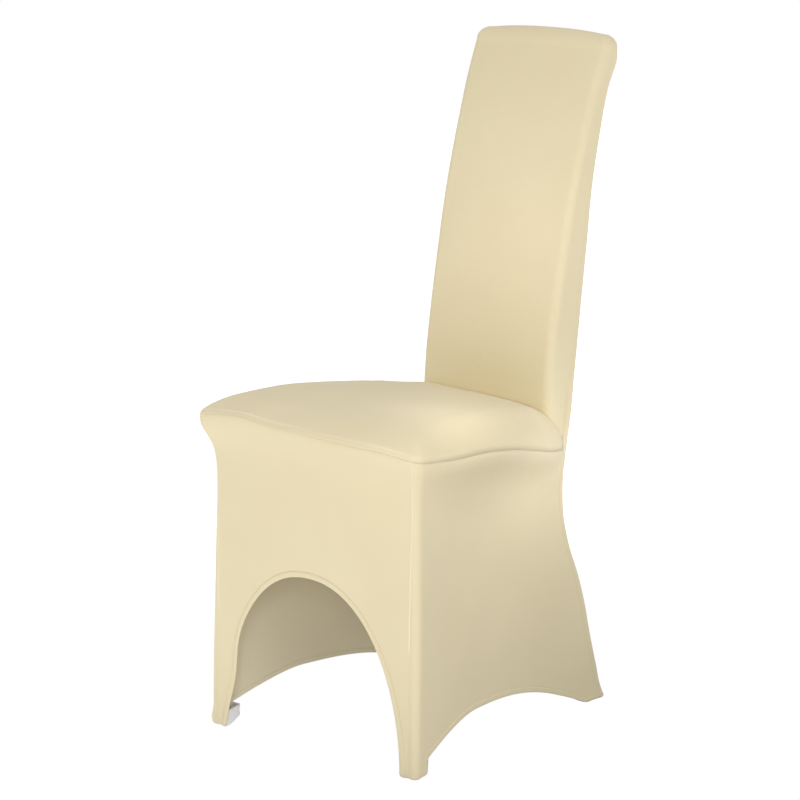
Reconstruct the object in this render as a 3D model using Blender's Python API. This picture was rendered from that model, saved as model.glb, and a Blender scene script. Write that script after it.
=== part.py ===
# A fitted stretch cover for a tall-backed dining chair.
# The cover is a hollow of thin sewn panels: a crowned seat, a front skirt with a tall arch, two side skirts and
# a back panel with low arches, a curved inner back that rolls over the top edge, and four foot pockets.
# Metres, +Z up, the front faces -Y, the origin is on the floor under the middle of the cover's box.

import math
from collections import Counter, namedtuple

import bmesh
import bpy
import numpy as np

# Cloth and seams
CLOTH = 0.0020            # thickness of a panel
HEM_CLOTH = 0.0030        # thickness of a turned hem
HEM_WIDTH = 0.0090        # height of the turned hem along each arch
HEM_STEP = 0.0015         # the hem thins to plain cloth over this height
SEAM_GAP = 0.0005         # clear space between two panels at a seam
MIDDLE_Y = 0.0662         # the middle of the cover's box, in the y of the sizes below

# Arches
FRONT_ARCH_HALF_WIDTH = 0.1808
FRONT_ARCH_HEIGHT = 0.2743
FRONT_ARCH_POWERS = (2.203, 1.927)
SIDE_ARCH_HEIGHT = 0.0645
SIDE_ARCH_TOP_Y = -0.0175
SIDE_ARCH_FRONT = 0.2220
SIDE_ARCH_FRONT_POWER = 1.380
SIDE_ARCH_REAR = 0.2798
SIDE_ARCH_REAR_POWER = 2.634
BACK_ARCH_HEIGHT = 0.0750
BACK_ARCH_POWERS = (2.400, 1.900)

# Feet and foot pockets
FRONT_FOOT_DEPTH = 0.0330
REAR_FOOT_DEPTH = 0.0480
REAR_FOOT_WIDTH = 0.0300
POCKET_HEIGHT = 0.0280
POCKET_CLOTH = 0.0016
POCKET_CORNER = 0.0050
POCKET_CLEAR = 0.0010     # clear space between a pocket and the panels round it
POCKET_FILLET = (0.0020, 0.0030)  # the sole thickens into the walls over this width and height

# Vertical seams
FRONT_SEAM_IN = 0.0130    # from the front corner, on the front face, low down
SEAM_LEAD = 0.0010        # least stretch between the front seam and the rounding behind it
SEAM_POWER = 8            # the front face turns towards the corner only near the seam
REAR_SEAM_IN = 0.0150     # from the rear corner, on the side

# Seat pad and its rim
FRONT_BOW = 0.0070        # swell of the front skirt between its legs
RIM_HALF_WIDTH = 0.2250
RIM_FRONT_Y = -0.2230
RIM_FRONT_BOW = 0.0120
RIM_CORNER = 0.0220
RIM_SEAM_TURN = 39.0      # degrees round the rim's corner where the front seam ends
REAR_SEAM_TOP = 0.4150    # height where the seat, the side, the back and the inner back meet
RIM_SIDE_HANDLES = ((0.2080, 0.0200), (0.1820, 0.1650))
PAD_REAR_Y = 0.2500
PAD_CENTRE = (0.0, 0.0100)
PAD_ROUNDING = 0.2300     # share of the way to the pad's middle over which its edge rounds off
PAD_ROUND_REACH = 0.65    # the rings that round it off take this share of the way to its flatter middle
PAD_ROUND_POWER = 2.200
PAD_DOME = 0.0070         # swell of the pad's middle
FLARE = 0.0340            # below the rim the skirt falls in to the legs over about this height

# Inner back and back panel
BACK_SWELL = 0.0060       # swell of the padded back across its width
BACK_CORNER = 0.0140      # rounding of the back's front edges
REAR_CORNER_ROUND = 0.0090
TOP_SEAM_Y = 0.0200       # the top seam lies this far behind the front face
TOP_SEAM_IN = 0.0140      # and ends this far inside the side
TOP_Z = 1.0585
TOP_CROWN = 0.0070        # the top edge is this much higher in its middle
TOP_FLAT_SHARE = 0.92     # share of the top seam that the flat of each panel meets

# Shares of the way across a panel
CORNER_START = 0.10       # the side skirt's rounded front corner starts here
CORNER_END = 0.28         # and ends here
WRAP = 0.16               # share of the back panel's half width that wraps round onto the side
FRONT_SHARE = 0.62        # share of the inner back's half width that is the front face
ARC_SHARE = 0.75          # share of a wrap's columns that its rounded corner takes

# Grid steps
RIM_CLOSENESS = 1.6
SEAM_ROWS = 12
FRONT_COLUMNS = 14
FRONT_ROWS = 9
CORNER_COLUMNS = 4
SIDE_COLUMNS = 13
FOOT_COLUMN = 0.004       # share of the side between the front foot's edge and the next column
BACK_COLUMNS = 12
INNER_COLUMNS = 14
ARC_COLUMNS = 3
STRAIGHT_COLUMNS = 3
UPPER_ROWS = 15
CAP_ROWS = 4
PAD_ROUND_RINGS = 5
PAD_CROWN_RINGS = 2
PAD_MIDDLE_RINGS = 2

# The pad's flatter middle; behind slow_y its side points lie closer together
Middle = namedtuple("Middle", "half_width front slow_y slow")
PAD_FLAT = Middle(0.1500, -0.1500, 0.0300, 0.4500)

Leg = namedtuple("Leg", "height front_x front_y corner side_bow")
LEGS = (
    Leg(0.000, 0.2120, -0.2070, 0.009, 0.0170),
    Leg(0.120, 0.2110, -0.2055, 0.010, 0.0165),
    Leg(0.260, 0.2085, -0.2030, 0.012, 0.0150),
    Leg(0.400, 0.2050, -0.2005, 0.014, 0.0100),
    Leg(0.500, 0.2040, -0.1995, 0.016, 0.0060),
)

# How far round the front corner, in degrees, the front seam lies
Turn = namedtuple("Turn", "height degrees")
SEAM_TURNS = (
    Turn(0.000, 0.0),
    Turn(0.200, 0.0),
    Turn(0.300, 15.0),
    Turn(0.400, 38.0),
    Turn(0.500, 39.0),
)

Rear = namedtuple("Rear", "height half_width y")
REARS = (
    Rear(0.000, 0.1690, 0.3120),
    Rear(0.030, 0.1665, 0.3005),
    Rear(0.057, 0.1645, 0.2945),
    Rear(0.109, 0.1590, 0.2850),
    Rear(0.160, 0.1530, 0.2780),
    Rear(0.211, 0.1468, 0.2675),
    Rear(0.270, 0.1410, 0.2490),
    Rear(0.322, 0.1375, 0.2405),
    Rear(0.369, 0.1342, 0.2440),
    Rear(0.409, 0.1325, 0.2520),
    Rear(0.453, 0.1315, 0.2615),
    Rear(0.547, 0.1310, 0.2745),
    Rear(0.641, 0.1312, 0.2860),
    Rear(0.735, 0.1315, 0.2985),
    Rear(0.829, 0.1322, 0.3105),
    Rear(0.920, 0.1330, 0.3305),
    Rear(0.962, 0.1335, 0.3410),
    Rear(0.984, 0.1338, 0.3490),
    Rear(1.002, 0.1340, 0.3590),
    Rear(1.018, 0.1342, 0.3665),
    Rear(1.040, 0.1342, 0.3675),
)

Face = namedtuple("Face", "height y")
FACES = (
    Face(0.400, 0.2000),
    Face(0.490, 0.2005),
    Face(0.550, 0.2045),
    Face(0.600, 0.2115),
    Face(0.700, 0.2295),
    Face(0.800, 0.2515),
    Face(0.900, 0.2810),
    Face(1.000, 0.3170),
    Face(1.040, 0.3340),
)

Rim = namedtuple("Rim", "y height")
RIMS = (
    Rim(-0.240, 0.5045),
    Rim(-0.227, 0.5000),
    Rim(-0.215, 0.4920),
    Rim(-0.195, 0.4855),
    Rim(-0.165, 0.4815),
    Rim(-0.130, 0.4780),
    Rim(-0.100, 0.4755),
    Rim(-0.027, 0.4690),
    Rim(0.040, 0.4600),
    Rim(0.126, 0.4415),
    Rim(0.170, 0.4305),
    Rim(0.2385, REAR_SEAM_TOP),
    Rim(0.260, 0.4080),
)

Crown = namedtuple("Crown", "y height")
CROWNS = (
    Crown(-0.240, 0.5185),
    Crown(-0.150, 0.5250),
    Crown(-0.040, 0.5265),
    Crown(0.080, 0.5145),
    Crown(0.170, 0.4955),
    Crown(0.260, 0.4810),
)

Finish = namedtuple("Finish", "colour roughness metallic")
FINISHES = {
    "cream_spandex": Finish((0.79, 0.70, 0.49), 0.60, 0.0),
    "sole_webbing": Finish((0.76, 0.75, 0.77), 0.80, 0.0),
}


def clear_scene():
    for old in list(bpy.data.objects):
        bpy.data.objects.remove(old, do_unlink=True)


def material_of(name):
    finish = FINISHES[name]
    material = bpy.data.materials.get(name) or bpy.data.materials.new(name)
    material.use_nodes = True
    shader = material.node_tree.nodes["Principled BSDF"]
    shader.inputs["Base Color"].default_value = (*finish.colour, 1.0)
    shader.inputs["Roughness"].default_value = finish.roughness
    shader.inputs["Metallic"].default_value = finish.metallic
    return material


# Curves

def smooth(table, column, at):
    """A table's column at any place along its first one, on a smooth curve through its rows."""
    xs = [row[0] for row in table]
    ys = [getattr(row, column) for row in table]
    at = min(max(at, xs[0]), xs[-1])
    i = min(max(int(np.searchsorted(xs, at)) - 1, 0), len(xs) - 2)
    rises = [(ys[k + 1] - ys[k]) / (xs[k + 1] - xs[k]) for k in range(len(xs) - 1)]

    def slope(k):
        if k == 0 or k == len(rises):
            return rises[min(k, len(rises) - 1)]
        if rises[k - 1] * rises[k] <= 0:
            return 0.0
        before, after = xs[k] - xs[k - 1], xs[k + 1] - xs[k]
        return (rises[k - 1] * after + rises[k] * before) / (before + after)

    span = xs[i + 1] - xs[i]
    t = (at - xs[i]) / span
    low = ys[i] * (1 + 2 * t) * (1 - t) ** 2 + span * slope(i) * t * (1 - t) ** 2
    return low + ys[i + 1] * t * t * (3 - 2 * t) - span * slope(i + 1) * t * t * (1 - t)


def mix(a, b, t):
    return tuple(p + (q - p) * t for p, q in zip(a, b))


def bezier(start, handles, stop, t):
    s = 1 - t
    weights = (s ** 3, 3 * s * s * t, 3 * s * t * t, t ** 3)
    points = (start, *handles, stop)
    return tuple(sum(w * p[k] for w, p in zip(weights, points)) for k in (0, 1))


def superellipse(angle, half_width, height, powers):
    c, s = math.cos(angle), math.sin(angle)
    x = math.copysign(abs(c) ** (2 / powers[0]), c) * half_width
    return (x, abs(s) ** (2 / powers[1]) * height)


def solve(rising, goal, low, high):
    """The place between low and high where a rising function reaches the goal."""
    for _ in range(40):
        middle = (low + high) / 2
        if rising(middle) < goal:
            low = middle
        else:
            high = middle
    return (low + high) / 2


def steps(count, low=0.0, high=1.0):
    return [low + (high - low) * i / count for i in range(count + 1)]


# Plan of the skirts: q runs from the front seam (0) round the front corner to the rear seam (1)

def corner_path(q, tip, radius, turn, lead, handles, stop):
    """A short stretch from the front seam, the corner's rounding from this turn on, and the side."""
    def rounding(angle):
        return (tip[0] - radius + radius * math.sin(angle), tip[1] + radius - radius * math.cos(angle))

    if q < CORNER_START:
        x, y = rounding(turn)
        seam = (x - lead * math.cos(turn), y - lead * math.sin(turn))
        return mix(seam, (x, y), q / CORNER_START)
    if q < CORNER_END:
        share = (q - CORNER_START) / (CORNER_END - CORNER_START)
        return rounding(turn + (math.pi / 2 - turn) * share)
    start = (tip[0], tip[1] + radius)
    return bezier(start, handles, stop, (q - CORNER_END) / (1 - CORNER_END))


def rear_seam(z):
    return (smooth(REARS, "half_width", z), smooth(REARS, "y", z) - REAR_SEAM_IN)


def leg_plan(q, z):
    """The plan down at the legs, where the cloth bows in between front and rear feet."""
    tip = (smooth(LEGS, "front_x", z), smooth(LEGS, "front_y", z))
    radius = smooth(LEGS, "corner", z)
    bow = smooth(LEGS, "side_bow", z) * 4 / 3
    start = (tip[0], tip[1] + radius)
    stop = rear_seam(z)
    handles = [(x - bow, y) for x, y in (mix(start, stop, 1 / 3), mix(start, stop, 2 / 3))]
    turn = math.radians(smooth(SEAM_TURNS, "degrees", z))
    lead = max(FRONT_SEAM_IN - radius, SEAM_LEAD)
    return corner_path(q, tip, radius, turn, lead, handles, stop)


def rim_plan(q):
    """The plan at the pad's rim, which stands out past the legs."""
    tip = (RIM_HALF_WIDTH, RIM_FRONT_Y)
    turn = math.radians(RIM_SEAM_TURN)
    return corner_path(q, tip, RIM_CORNER, turn, SEAM_LEAD, RIM_SIDE_HANDLES, rear_seam(REAR_SEAM_TOP))


def flare(drop):
    """How far the skirt still stands out at this drop below the rim, from 1 down to 0."""
    return 1 / (1 + (max(drop, 0.0) / FLARE) ** 3)


def flared(low, low_at_top, rim, drop):
    """A place on the legs' plan, moved out as far as the rim there stands out past the legs."""
    share = flare(drop)
    return tuple(a + (c - b) * share for a, b, c in zip(low, low_at_top, rim))


def side_top(q):
    if q == 1:
        return REAR_SEAM_TOP
    return smooth(RIMS, "height", rim_plan(q)[1])


def side_point(q, z):
    top = side_top(q)
    return (*flared(leg_plan(q, z), leg_plan(q, top), rim_plan(q), top - z), z)


def across_front(p, seam, face_y, bow):
    """The front face swells forward in its middle and turns in to the seam at its ends."""
    return (p * seam[0], face_y - bow * (1 - p * p) + (seam[1] - face_y) * abs(p) ** SEAM_POWER)


def front_rim(p):
    return across_front(p, rim_plan(0), RIM_FRONT_Y, RIM_FRONT_BOW)


def front_top(p):
    return smooth(RIMS, "height", front_rim(p)[1])


def front_point(p, z):
    """The front skirt; p runs from -1 at the left seam to 1 at the right one."""
    top = front_top(p)
    plans = []
    for height in (z, top):
        plans.append(across_front(p, leg_plan(0, height), smooth(LEGS, "front_y", height), FRONT_BOW))
    return (*flared(plans[0], plans[1], front_rim(p), top - z), z)


def side_foot_y():
    """Where the side arch starts and ends on the floor."""
    return LEGS[0].front_y + FRONT_FOOT_DEPTH, REARS[0].y - REAR_FOOT_DEPTH


def side_hem(y):
    """Height of the side arch's hem; on the floor under the feet."""
    front, rear = side_foot_y()
    if y <= front or y >= rear:
        return 0.0
    ahead = y < SIDE_ARCH_TOP_Y
    length = SIDE_ARCH_FRONT if ahead else SIDE_ARCH_REAR
    power = SIDE_ARCH_FRONT_POWER if ahead else SIDE_ARCH_REAR_POWER
    return SIDE_ARCH_HEIGHT * max(1 - (abs(y - SIDE_ARCH_TOP_Y) / length) ** power, 0.0)


# The back panel: p runs from -1 at its left seam to 1 at its right one

def rounded_side(share, radius, straight):
    """How far in from the side and away from the face a wrap lies after this share of its way round."""
    turn = min(share / ARC_SHARE, 1.0) * math.pi / 2
    beyond = max(share - ARC_SHARE, 0.0) / (1 - ARC_SHARE) * straight
    return radius * (1 - math.sin(turn)), radius * (1 - math.cos(turn)) + beyond


def wrap_steps(low):
    """Columns round a corner and along the side, from the end of the face (low) to the seam (1)."""
    shares = steps(ARC_COLUMNS, 0.0, ARC_SHARE) + steps(STRAIGHT_COLUMNS, ARC_SHARE, 1.0)[1:]
    return [low + (1 - low) * share for share in shares]


def back_point(p, z):
    half = smooth(REARS, "half_width", z)
    rear = smooth(REARS, "y", z)
    radius = REAR_CORNER_ROUND
    share = abs(p)
    x, y = (half - radius) * min(share / (1 - WRAP), 1.0), rear
    if share > 1 - WRAP:
        inside, before = rounded_side((share - 1 + WRAP) / WRAP, radius, REAR_SEAM_IN - radius)
        x, y = half - inside, rear - before
    return (math.copysign(x, p), y, z)


def back_hem(p):
    """Height of the back arch's hem; on the floor under the rear feet."""
    flat = REARS[0].half_width - REAR_CORNER_ROUND
    x = abs(p) / (1 - WRAP) * flat
    half = REARS[0].half_width - REAR_FOOT_WIDTH
    if x >= half:
        return 0.0
    return BACK_ARCH_HEIGHT * (1 - (x / half) ** BACK_ARCH_POWERS[0]) ** (1 / BACK_ARCH_POWERS[1])


# The inner back: p runs from -1 at the left rear seam across the front to 1 at the right one

def inner_point(p, z):
    half = smooth(REARS, "half_width", z)
    front = smooth(FACES, "y", z)
    depth = smooth(REARS, "y", z) - REAR_SEAM_IN - front
    radius = min(BACK_CORNER, depth - 0.001)
    flat = half - radius
    share = abs(p)
    if share <= FRONT_SHARE:
        x = flat * share / FRONT_SHARE
        y = front - BACK_SWELL * ((flat / half) ** 2 - (x / half) ** 2)
    else:
        inside, behind = rounded_side((share - FRONT_SHARE) / (1 - FRONT_SHARE), radius, depth - radius)
        x, y = half - inside, front + behind
    return (math.copysign(x, p), y, z)


def cap_rows(row):
    """From the last level row over to the top seam, which both panels share."""
    half = (len(row) - 1) // 2
    wrap = ARC_COLUMNS + STRAIGHT_COLUMNS
    flat = half - wrap
    rows = []
    for t in steps(CAP_ROWS)[1:]:
        rows.append([])
        for i, start in enumerate(row):
            steps_out = abs(i - half)
            spread = TOP_FLAT_SHARE * min(steps_out / flat, 1.0)
            spread += (1 - TOP_FLAT_SHARE) * max(steps_out - flat, 0) / wrap
            rows[-1].append(cap_point(start, math.copysign(spread, start[0]), t))
    return rows


def cap_point(start, spread, t):
    """One point on the way over the top; spread is its place along the top seam, -1 to 1."""
    x = (REARS[-1].half_width - TOP_SEAM_IN) * spread
    y = FACES[-1].y + TOP_SEAM_Y
    z = TOP_Z + TOP_CROWN * (1 - spread * spread)
    turn = t * math.pi / 2
    plan = mix(start[:2], (x, y), 1 - math.cos(turn))
    return (*plan, start[2] + (z - start[2]) * math.sin(turn))


# The seat pad: a height for each place in its plan

def outline_share(place):
    """How far a place lies from the pad's middle towards its rim, 0 to 1, and the rim's y in that direction."""
    dx, dy = abs(place[0]) - PAD_CENTRE[0], place[1] - PAD_CENTRE[1]

    def bearing(x, y):
        return math.atan2(x - PAD_CENTRE[0], -(y - PAD_CENTRE[1]))

    goal = bearing(abs(place[0]), place[1])
    if goal <= bearing(*rim_plan(0)):
        p = solve(lambda k: bearing(*front_rim(k)), goal, 0.0, 1.0)
        edge = front_rim(p)
    elif goal <= bearing(*rear_seam(REAR_SEAM_TOP)):
        q = solve(lambda k: bearing(*rim_plan(k)), goal, 0.0, 1.0)
        edge = rim_plan(q)
    else:
        x = rear_seam(REAR_SEAM_TOP)[0] - solve(
            lambda k: bearing(rear_seam(REAR_SEAM_TOP)[0] - k, rear_edge(rear_seam(REAR_SEAM_TOP)[0] - k)),
            goal, 0.0, rear_seam(REAR_SEAM_TOP)[0],
        )
        edge = (x, rear_edge(x))
    reach = math.hypot(edge[0] - PAD_CENTRE[0], edge[1] - PAD_CENTRE[1])
    return math.hypot(dx, dy) / reach, edge[1]


def rear_edge(x):
    """The pad's rear edge, hidden inside the back."""
    half, seam_y = rear_seam(REAR_SEAM_TOP)
    return PAD_REAR_Y - (PAD_REAR_Y - seam_y) * (x / half) ** 2


def pad_height(place):
    share, rim_y = outline_share(place)
    low = smooth(RIMS, "height", rim_y)
    high = smooth(CROWNS, "height", place[1]) + PAD_DOME * (1 - share * share)
    inside = min(max((1 - share) / PAD_ROUNDING, 0.0), 1.0)
    round_off = (1 - (1 - inside) ** PAD_ROUND_POWER) ** (1 / PAD_ROUND_POWER)
    return low + (high - low) * round_off


def crease_point(p):
    """Where the inner back meets the pad."""
    if abs(p) == 1:
        x, y = rear_seam(REAR_SEAM_TOP)
        return (math.copysign(x, p), y, REAR_SEAM_TOP)
    z = CROWNS[-1].height
    for _ in range(12):
        x, y, _z = inner_point(p, z)
        z = pad_height((x, y))
    return inner_point(p, z)


# Sheets: points and faces of a panel's outer side

class Sheet:
    def __init__(self, name, finish):
        self.name = name
        self.finish = finish
        self.points = []
        self.faces = []
        self.index = {}
        self.thick = {}

    def point(self, place, thick=None):
        key = tuple(round(v, 6) for v in place)
        if key not in self.index:
            self.index[key] = len(self.points)
            self.points.append(place)
        if thick:
            self.thick[self.index[key]] = thick
        return self.index[key]

    def face(self, corners):
        ring = [c for i, c in enumerate(corners) if c != corners[i - 1]]
        if len(set(ring)) >= 3:
            self.faces.append(ring)

    def grid(self, rows, closed=False, hem=0):
        """Rows of places, each row along the panel; the first rows of a hem are thicker."""
        ids = [[self.point(p, HEM_CLOTH if r < hem else None) for p in row] for r, row in enumerate(rows)]
        for low, high in zip(ids, ids[1:]):
            columns = len(low) if closed else len(low) - 1
            for c in range(columns):
                d = (c + 1) % len(low)
                self.face([low[c], low[d], high[d], high[c]])
        return ids

    def mirrored(self, name):
        twin = Sheet(name, self.finish)
        twin.points = [(-x, y, z) for x, y, z in self.points]
        twin.faces = [face[::-1] for face in self.faces]
        twin.thick = dict(self.thick)
        return twin


def rise_shares(rise, rows):
    """Rows from a hem up to a rim: the hem, its step, then rows that come closer towards the rim."""
    hem = min(HEM_WIDTH / rise, 0.6)
    step = hem + (1 - hem) * min(HEM_STEP / rise, 0.1)
    return [0.0, hem] + [step + (1 - step) * (1 - (1 - t) ** RIM_CLOSENESS) for t in steps(rows - 2)]


def column_places(surface, across, low, high):
    """One column of a skirt from its hem up to its top edge."""
    return [surface(across, low + (high - low) * share) for share in rise_shares(high - low, SEAM_ROWS)]


def across_side():
    """The side skirt's columns, closer together where its arch meets the feet."""
    corner = steps(CORNER_COLUMNS, CORNER_START, CORNER_END)
    front, rear = side_foot_y()
    first = solve(lambda q: leg_plan(q, 0.0)[1], front, CORNER_END, 1.0)
    last = solve(lambda q: leg_plan(q, 0.0)[1], rear, CORNER_END, 1.0)
    span = steps(SIDE_COLUMNS, first, last)
    near = [first + FOOT_COLUMN, (first + span[1]) / 2]
    return [0.0] + corner + [first] + near + span[1:] + [(last + 1) / 2, 1.0]


def side_sheet():
    sheet = Sheet("side_skirt_right", "cream_spandex")
    columns = []
    for q in across_side():
        low = side_hem(leg_plan(q, 0.0)[1]) if q > CORNER_END else 0.0
        columns.append(column_places(side_point, q, low, side_top(q)))
    sheet.grid([list(row) for row in zip(*columns)], hem=2)
    return sheet


def front_sheet():
    """Rows run from the arch's hem out to the seams and the rim."""
    sheet = Sheet("front_skirt", "cream_spandex")
    seam = [share * front_top(1) for share in rise_shares(front_top(1), SEAM_ROWS)]
    outer = [(-1.0, z) for z in seam]
    outer += [(p, front_top(p)) for p in steps(FRONT_COLUMNS, -1.0, 1.0)[1:-1]]
    outer += [(1.0, z) for z in reversed(seam)]
    rows = []
    count = len(outer) - 1
    hem = []
    for i in range(count + 1):
        x, z = superellipse(math.pi * (1 - i / count), FRONT_ARCH_HALF_WIDTH, FRONT_ARCH_HEIGHT, FRONT_ARCH_POWERS)
        hem.append((x / leg_plan(0, z)[0], z))
    for low, high in zip(hem, outer):
        width = leg_plan(0, low[1])[0]
        run = math.hypot((high[0] - low[0]) * width, high[1] - low[1])
        rows.append([front_point(*mix(low, high, share)) for share in rise_shares(run, FRONT_ROWS)])
    sheet.grid(list(zip(*rows)), hem=2)
    return sheet


def across_back():
    flat = REARS[0].half_width - REAR_CORNER_ROUND
    foot = (REARS[0].half_width - REAR_FOOT_WIDTH) / flat * (1 - WRAP)
    half = [foot * math.sin(t * math.pi / 2) for t in steps(BACK_COLUMNS // 2)]
    right = half + wrap_steps(1 - WRAP)
    return [-p for p in reversed(right[1:])] + right


def upper_heights(low):
    return steps(UPPER_ROWS, low, REARS[-1].height)


def back_sheet():
    sheet = Sheet("back_panel", "cream_spandex")
    level = side_top(1)
    across = across_back()
    columns = [column_places(back_point, p, back_hem(p), level) for p in across]
    sheet.grid([list(row)[::-1] for row in zip(*columns)], hem=2)
    rows = [[back_point(p, z) for p in reversed(across)] for z in upper_heights(level)]
    sheet.grid(rows + cap_rows(rows[-1]))
    return sheet


def across_inner():
    right = steps(INNER_COLUMNS // 2, 0.0, FRONT_SHARE) + wrap_steps(FRONT_SHARE)[1:]
    return [-p for p in reversed(right[1:])] + right


def inner_sheet():
    sheet = Sheet("inner_back", "cream_spandex")
    across = across_inner()
    creases = [crease_point(p) for p in across]
    rows = [creases]
    for share in steps(UPPER_ROWS)[1:]:
        top = REARS[-1].height
        rows.append([inner_point(p, c[2] + (top - c[2]) * share) for p, c in zip(across, creases)])
    sheet.grid(rows + cap_rows(rows[-1]))
    return sheet


def rim_anchor(x, y):
    """The place on the edge of the pad's flatter middle that a point of its rim runs to."""
    if y < PAD_FLAT.front:
        return (min(max(x, -PAD_FLAT.half_width), PAD_FLAT.half_width), PAD_FLAT.front)
    if y > PAD_FLAT.slow_y:
        y = PAD_FLAT.slow_y + (y - PAD_FLAT.slow_y) * PAD_FLAT.slow
    return (math.copysign(PAD_FLAT.half_width, x), y)


def seat_sheet():
    """Rings run from the rim and the crease in to the middle of the pad."""
    sheet = Sheet("seat_panel", "cream_spandex")
    right = [(*rim_plan(q), side_top(q)) for q in across_side()]
    left = [(-x, y, z) for x, y, z in right]
    front = [(*front_rim(p), front_top(p)) for p in steps(FRONT_COLUMNS, -1.0, 1.0)[1:-1]]
    rim = left[::-1] + front + right
    creases = across_inner()[-2:0:-1]
    ring = rim + [crease_point(p) for p in creases]
    anchors = [rim_anchor(x, y) for x, y, _z in rim]
    half, rear = anchors[-1]
    anchors += [(half * p, rear) for p in creases]
    shares = [PAD_ROUND_REACH * (1 - math.cos(t * math.pi / 2)) for t in steps(PAD_ROUND_RINGS)[1:]]
    shares += steps(PAD_CROWN_RINGS, PAD_ROUND_REACH, 1.0)[1:]
    plans = [[mix(p[:2], anchor, share) for p, anchor in zip(ring, anchors)] for share in shares]
    for share in steps(PAD_MIDDLE_RINGS + 1)[1:-1]:
        plans.append([mix(anchor, PAD_CENTRE, share) for anchor in anchors])
    ids = sheet.grid([ring] + [[(*plan, pad_height(plan)) for plan in row] for row in plans], closed=True)
    middle = sheet.point((*PAD_CENTRE, pad_height(PAD_CENTRE)))
    last = ids[-1]
    for i in range(len(last)):
        sheet.face([last[i], last[(i + 1) % len(last)], middle])
    return sheet


# Thickness

def face_normal(points, face):
    a = [points[i] for i in face]
    total = np.zeros(3)
    for k in range(len(a)):
        total += np.cross(a[k], a[(k + 1) % len(a)])
    return total


def shared_normals(sheets):
    """Outward normals at every place, shared evenly by the panels that meet there."""
    total = {}
    for sheet in sheets:
        points = [np.array(p) for p in sheet.points]
        own = {}
        for face in sheet.faces:
            normal = face_normal(points, face)
            for i in face:
                key = tuple(np.round(points[i], 5) + 0.0)
                own[key] = own.get(key, np.zeros(3)) + normal
        for key, value in own.items():
            total[key] = total.get(key, np.zeros(3)) + value / np.linalg.norm(value)
    return {key: value / np.linalg.norm(value) for key, value in total.items()}


def edge_pulls(points, faces, normals):
    """For each edge point, the way in from the panel's edge."""
    edges = Counter(frozenset((f[k], f[(k + 1) % len(f)])) for f in faces for k in range(len(f)))
    rims, pulls = [], {}
    for face in faces:
        for k in range(len(face)):
            a, b = face[k], face[(k + 1) % len(face)]
            if edges[frozenset((a, b))] == 1:
                rims.append((a, b))
                for i in (a, b):
                    inward = np.cross(normals[i], points[b] - points[a])
                    pulls.setdefault(i, []).append(inward / np.linalg.norm(inward))
    for i, ways in pulls.items():
        way = sum(ways) / np.linalg.norm(sum(ways))
        pulls[i] = way / max(float(np.dot(way, ways[0])), 0.5)
    return rims, pulls


def thicken(sheet, normals):
    """A closed solid: the outer side, an inner side one cloth further in, and the edge between them."""
    outer = [np.array(p) for p in sheet.points]
    ways = [normals[tuple(np.round(p, 5) + 0.0)] for p in outer]
    rims, pulls = edge_pulls(outer, sheet.faces, ways)
    places = []
    for i, p in enumerate(outer):
        q = p + pulls.get(i, np.zeros(3)) * SEAM_GAP / 2
        places.append(q)
    for i, p in enumerate(outer):
        depth = sheet.thick.get(i, CLOTH)
        places.append(places[i] - ways[i] * depth)
    for i, p in enumerate(outer):
        if abs(p[2]) < 1e-6:
            places[i][2] = 0.0
            places[i + len(outer)][2] = 0.0
    count = len(outer)
    faces = [tuple(f) for f in sheet.faces]
    faces += [tuple(i + count for i in reversed(f)) for f in sheet.faces]
    for a, b in rims:
        # both panels of a seam split its edge faces along the same diagonal
        if tuple(np.round(outer[a], 5)) < tuple(np.round(outer[b], 5)):
            faces += [(b, a, a + count), (b, a + count, b + count)]
        else:
            faces += [(b, a, b + count), (a, a + count, b + count)]
    return places, faces


def add_object(name, finish, places, faces):
    mesh = bpy.data.meshes.new(name)
    shifted = [(p[0], p[1] - MIDDLE_Y, p[2]) for p in places]
    mesh.from_pydata(shifted, [], faces)
    body = bmesh.new()
    body.from_mesh(mesh)
    bmesh.ops.triangulate(body, faces=[f for f in body.faces if len(f.verts) > 3])
    body.to_mesh(mesh)
    body.free()
    mesh.shade_smooth()
    mesh.set_sharp_from_angle(angle=math.radians(50))
    mesh.materials.append(material_of(finish))
    made = bpy.data.objects.new(name, mesh)
    bpy.context.scene.collection.objects.link(made)
    return made


# Foot pockets: small cups of webbing inside the panels' feet

def inset_from_side(z, y):
    """The side skirt's inner face at this height and y, less the clear space."""
    q = solve(lambda k: leg_plan(k, z)[1], y, CORNER_END, 1.0)
    return leg_plan(q, z)[0] - HEM_CLOTH - POCKET_CLEAR


def front_pocket_corners(z):
    wall = HEM_CLOTH + POCKET_CLEAR
    leg_x, leg_y = smooth(LEGS, "front_x", z), smooth(LEGS, "front_y", z)
    rear = LEGS[0].front_y + FRONT_FOOT_DEPTH
    arch = FRONT_ARCH_HALF_WIDTH
    return [(arch, leg_y + wall), (leg_x - wall, leg_y + wall), (inset_from_side(z, rear), rear), (arch, rear)]


def rear_pocket_corners(z):
    wall = HEM_CLOTH + POCKET_CLEAR
    half, rear = smooth(REARS, "half_width", z), smooth(REARS, "y", z)
    front = rear - REAR_FOOT_DEPTH
    inner = half - REAR_FOOT_WIDTH
    return [
        (inner, front),
        (min(inset_from_side(z, front), half - wall), front),
        (half - wall, rear - wall),
        (inner, rear - wall),
    ]


def rounded_ring(corners, radius, z):
    """A four-cornered plan with its corners rounded, anticlockwise."""
    ring = []
    for i, corner in enumerate(corners):
        before = np.array(corners[i - 1]) - corner
        after = np.array(corners[(i + 1) % 4]) - corner
        before /= np.linalg.norm(before)
        after /= np.linalg.norm(after)
        for t in steps(3):
            s = 1 - t
            way = before * s * s + after * t * t
            ring.append((*(np.array(corner) + way * radius), z))
    return ring


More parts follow.
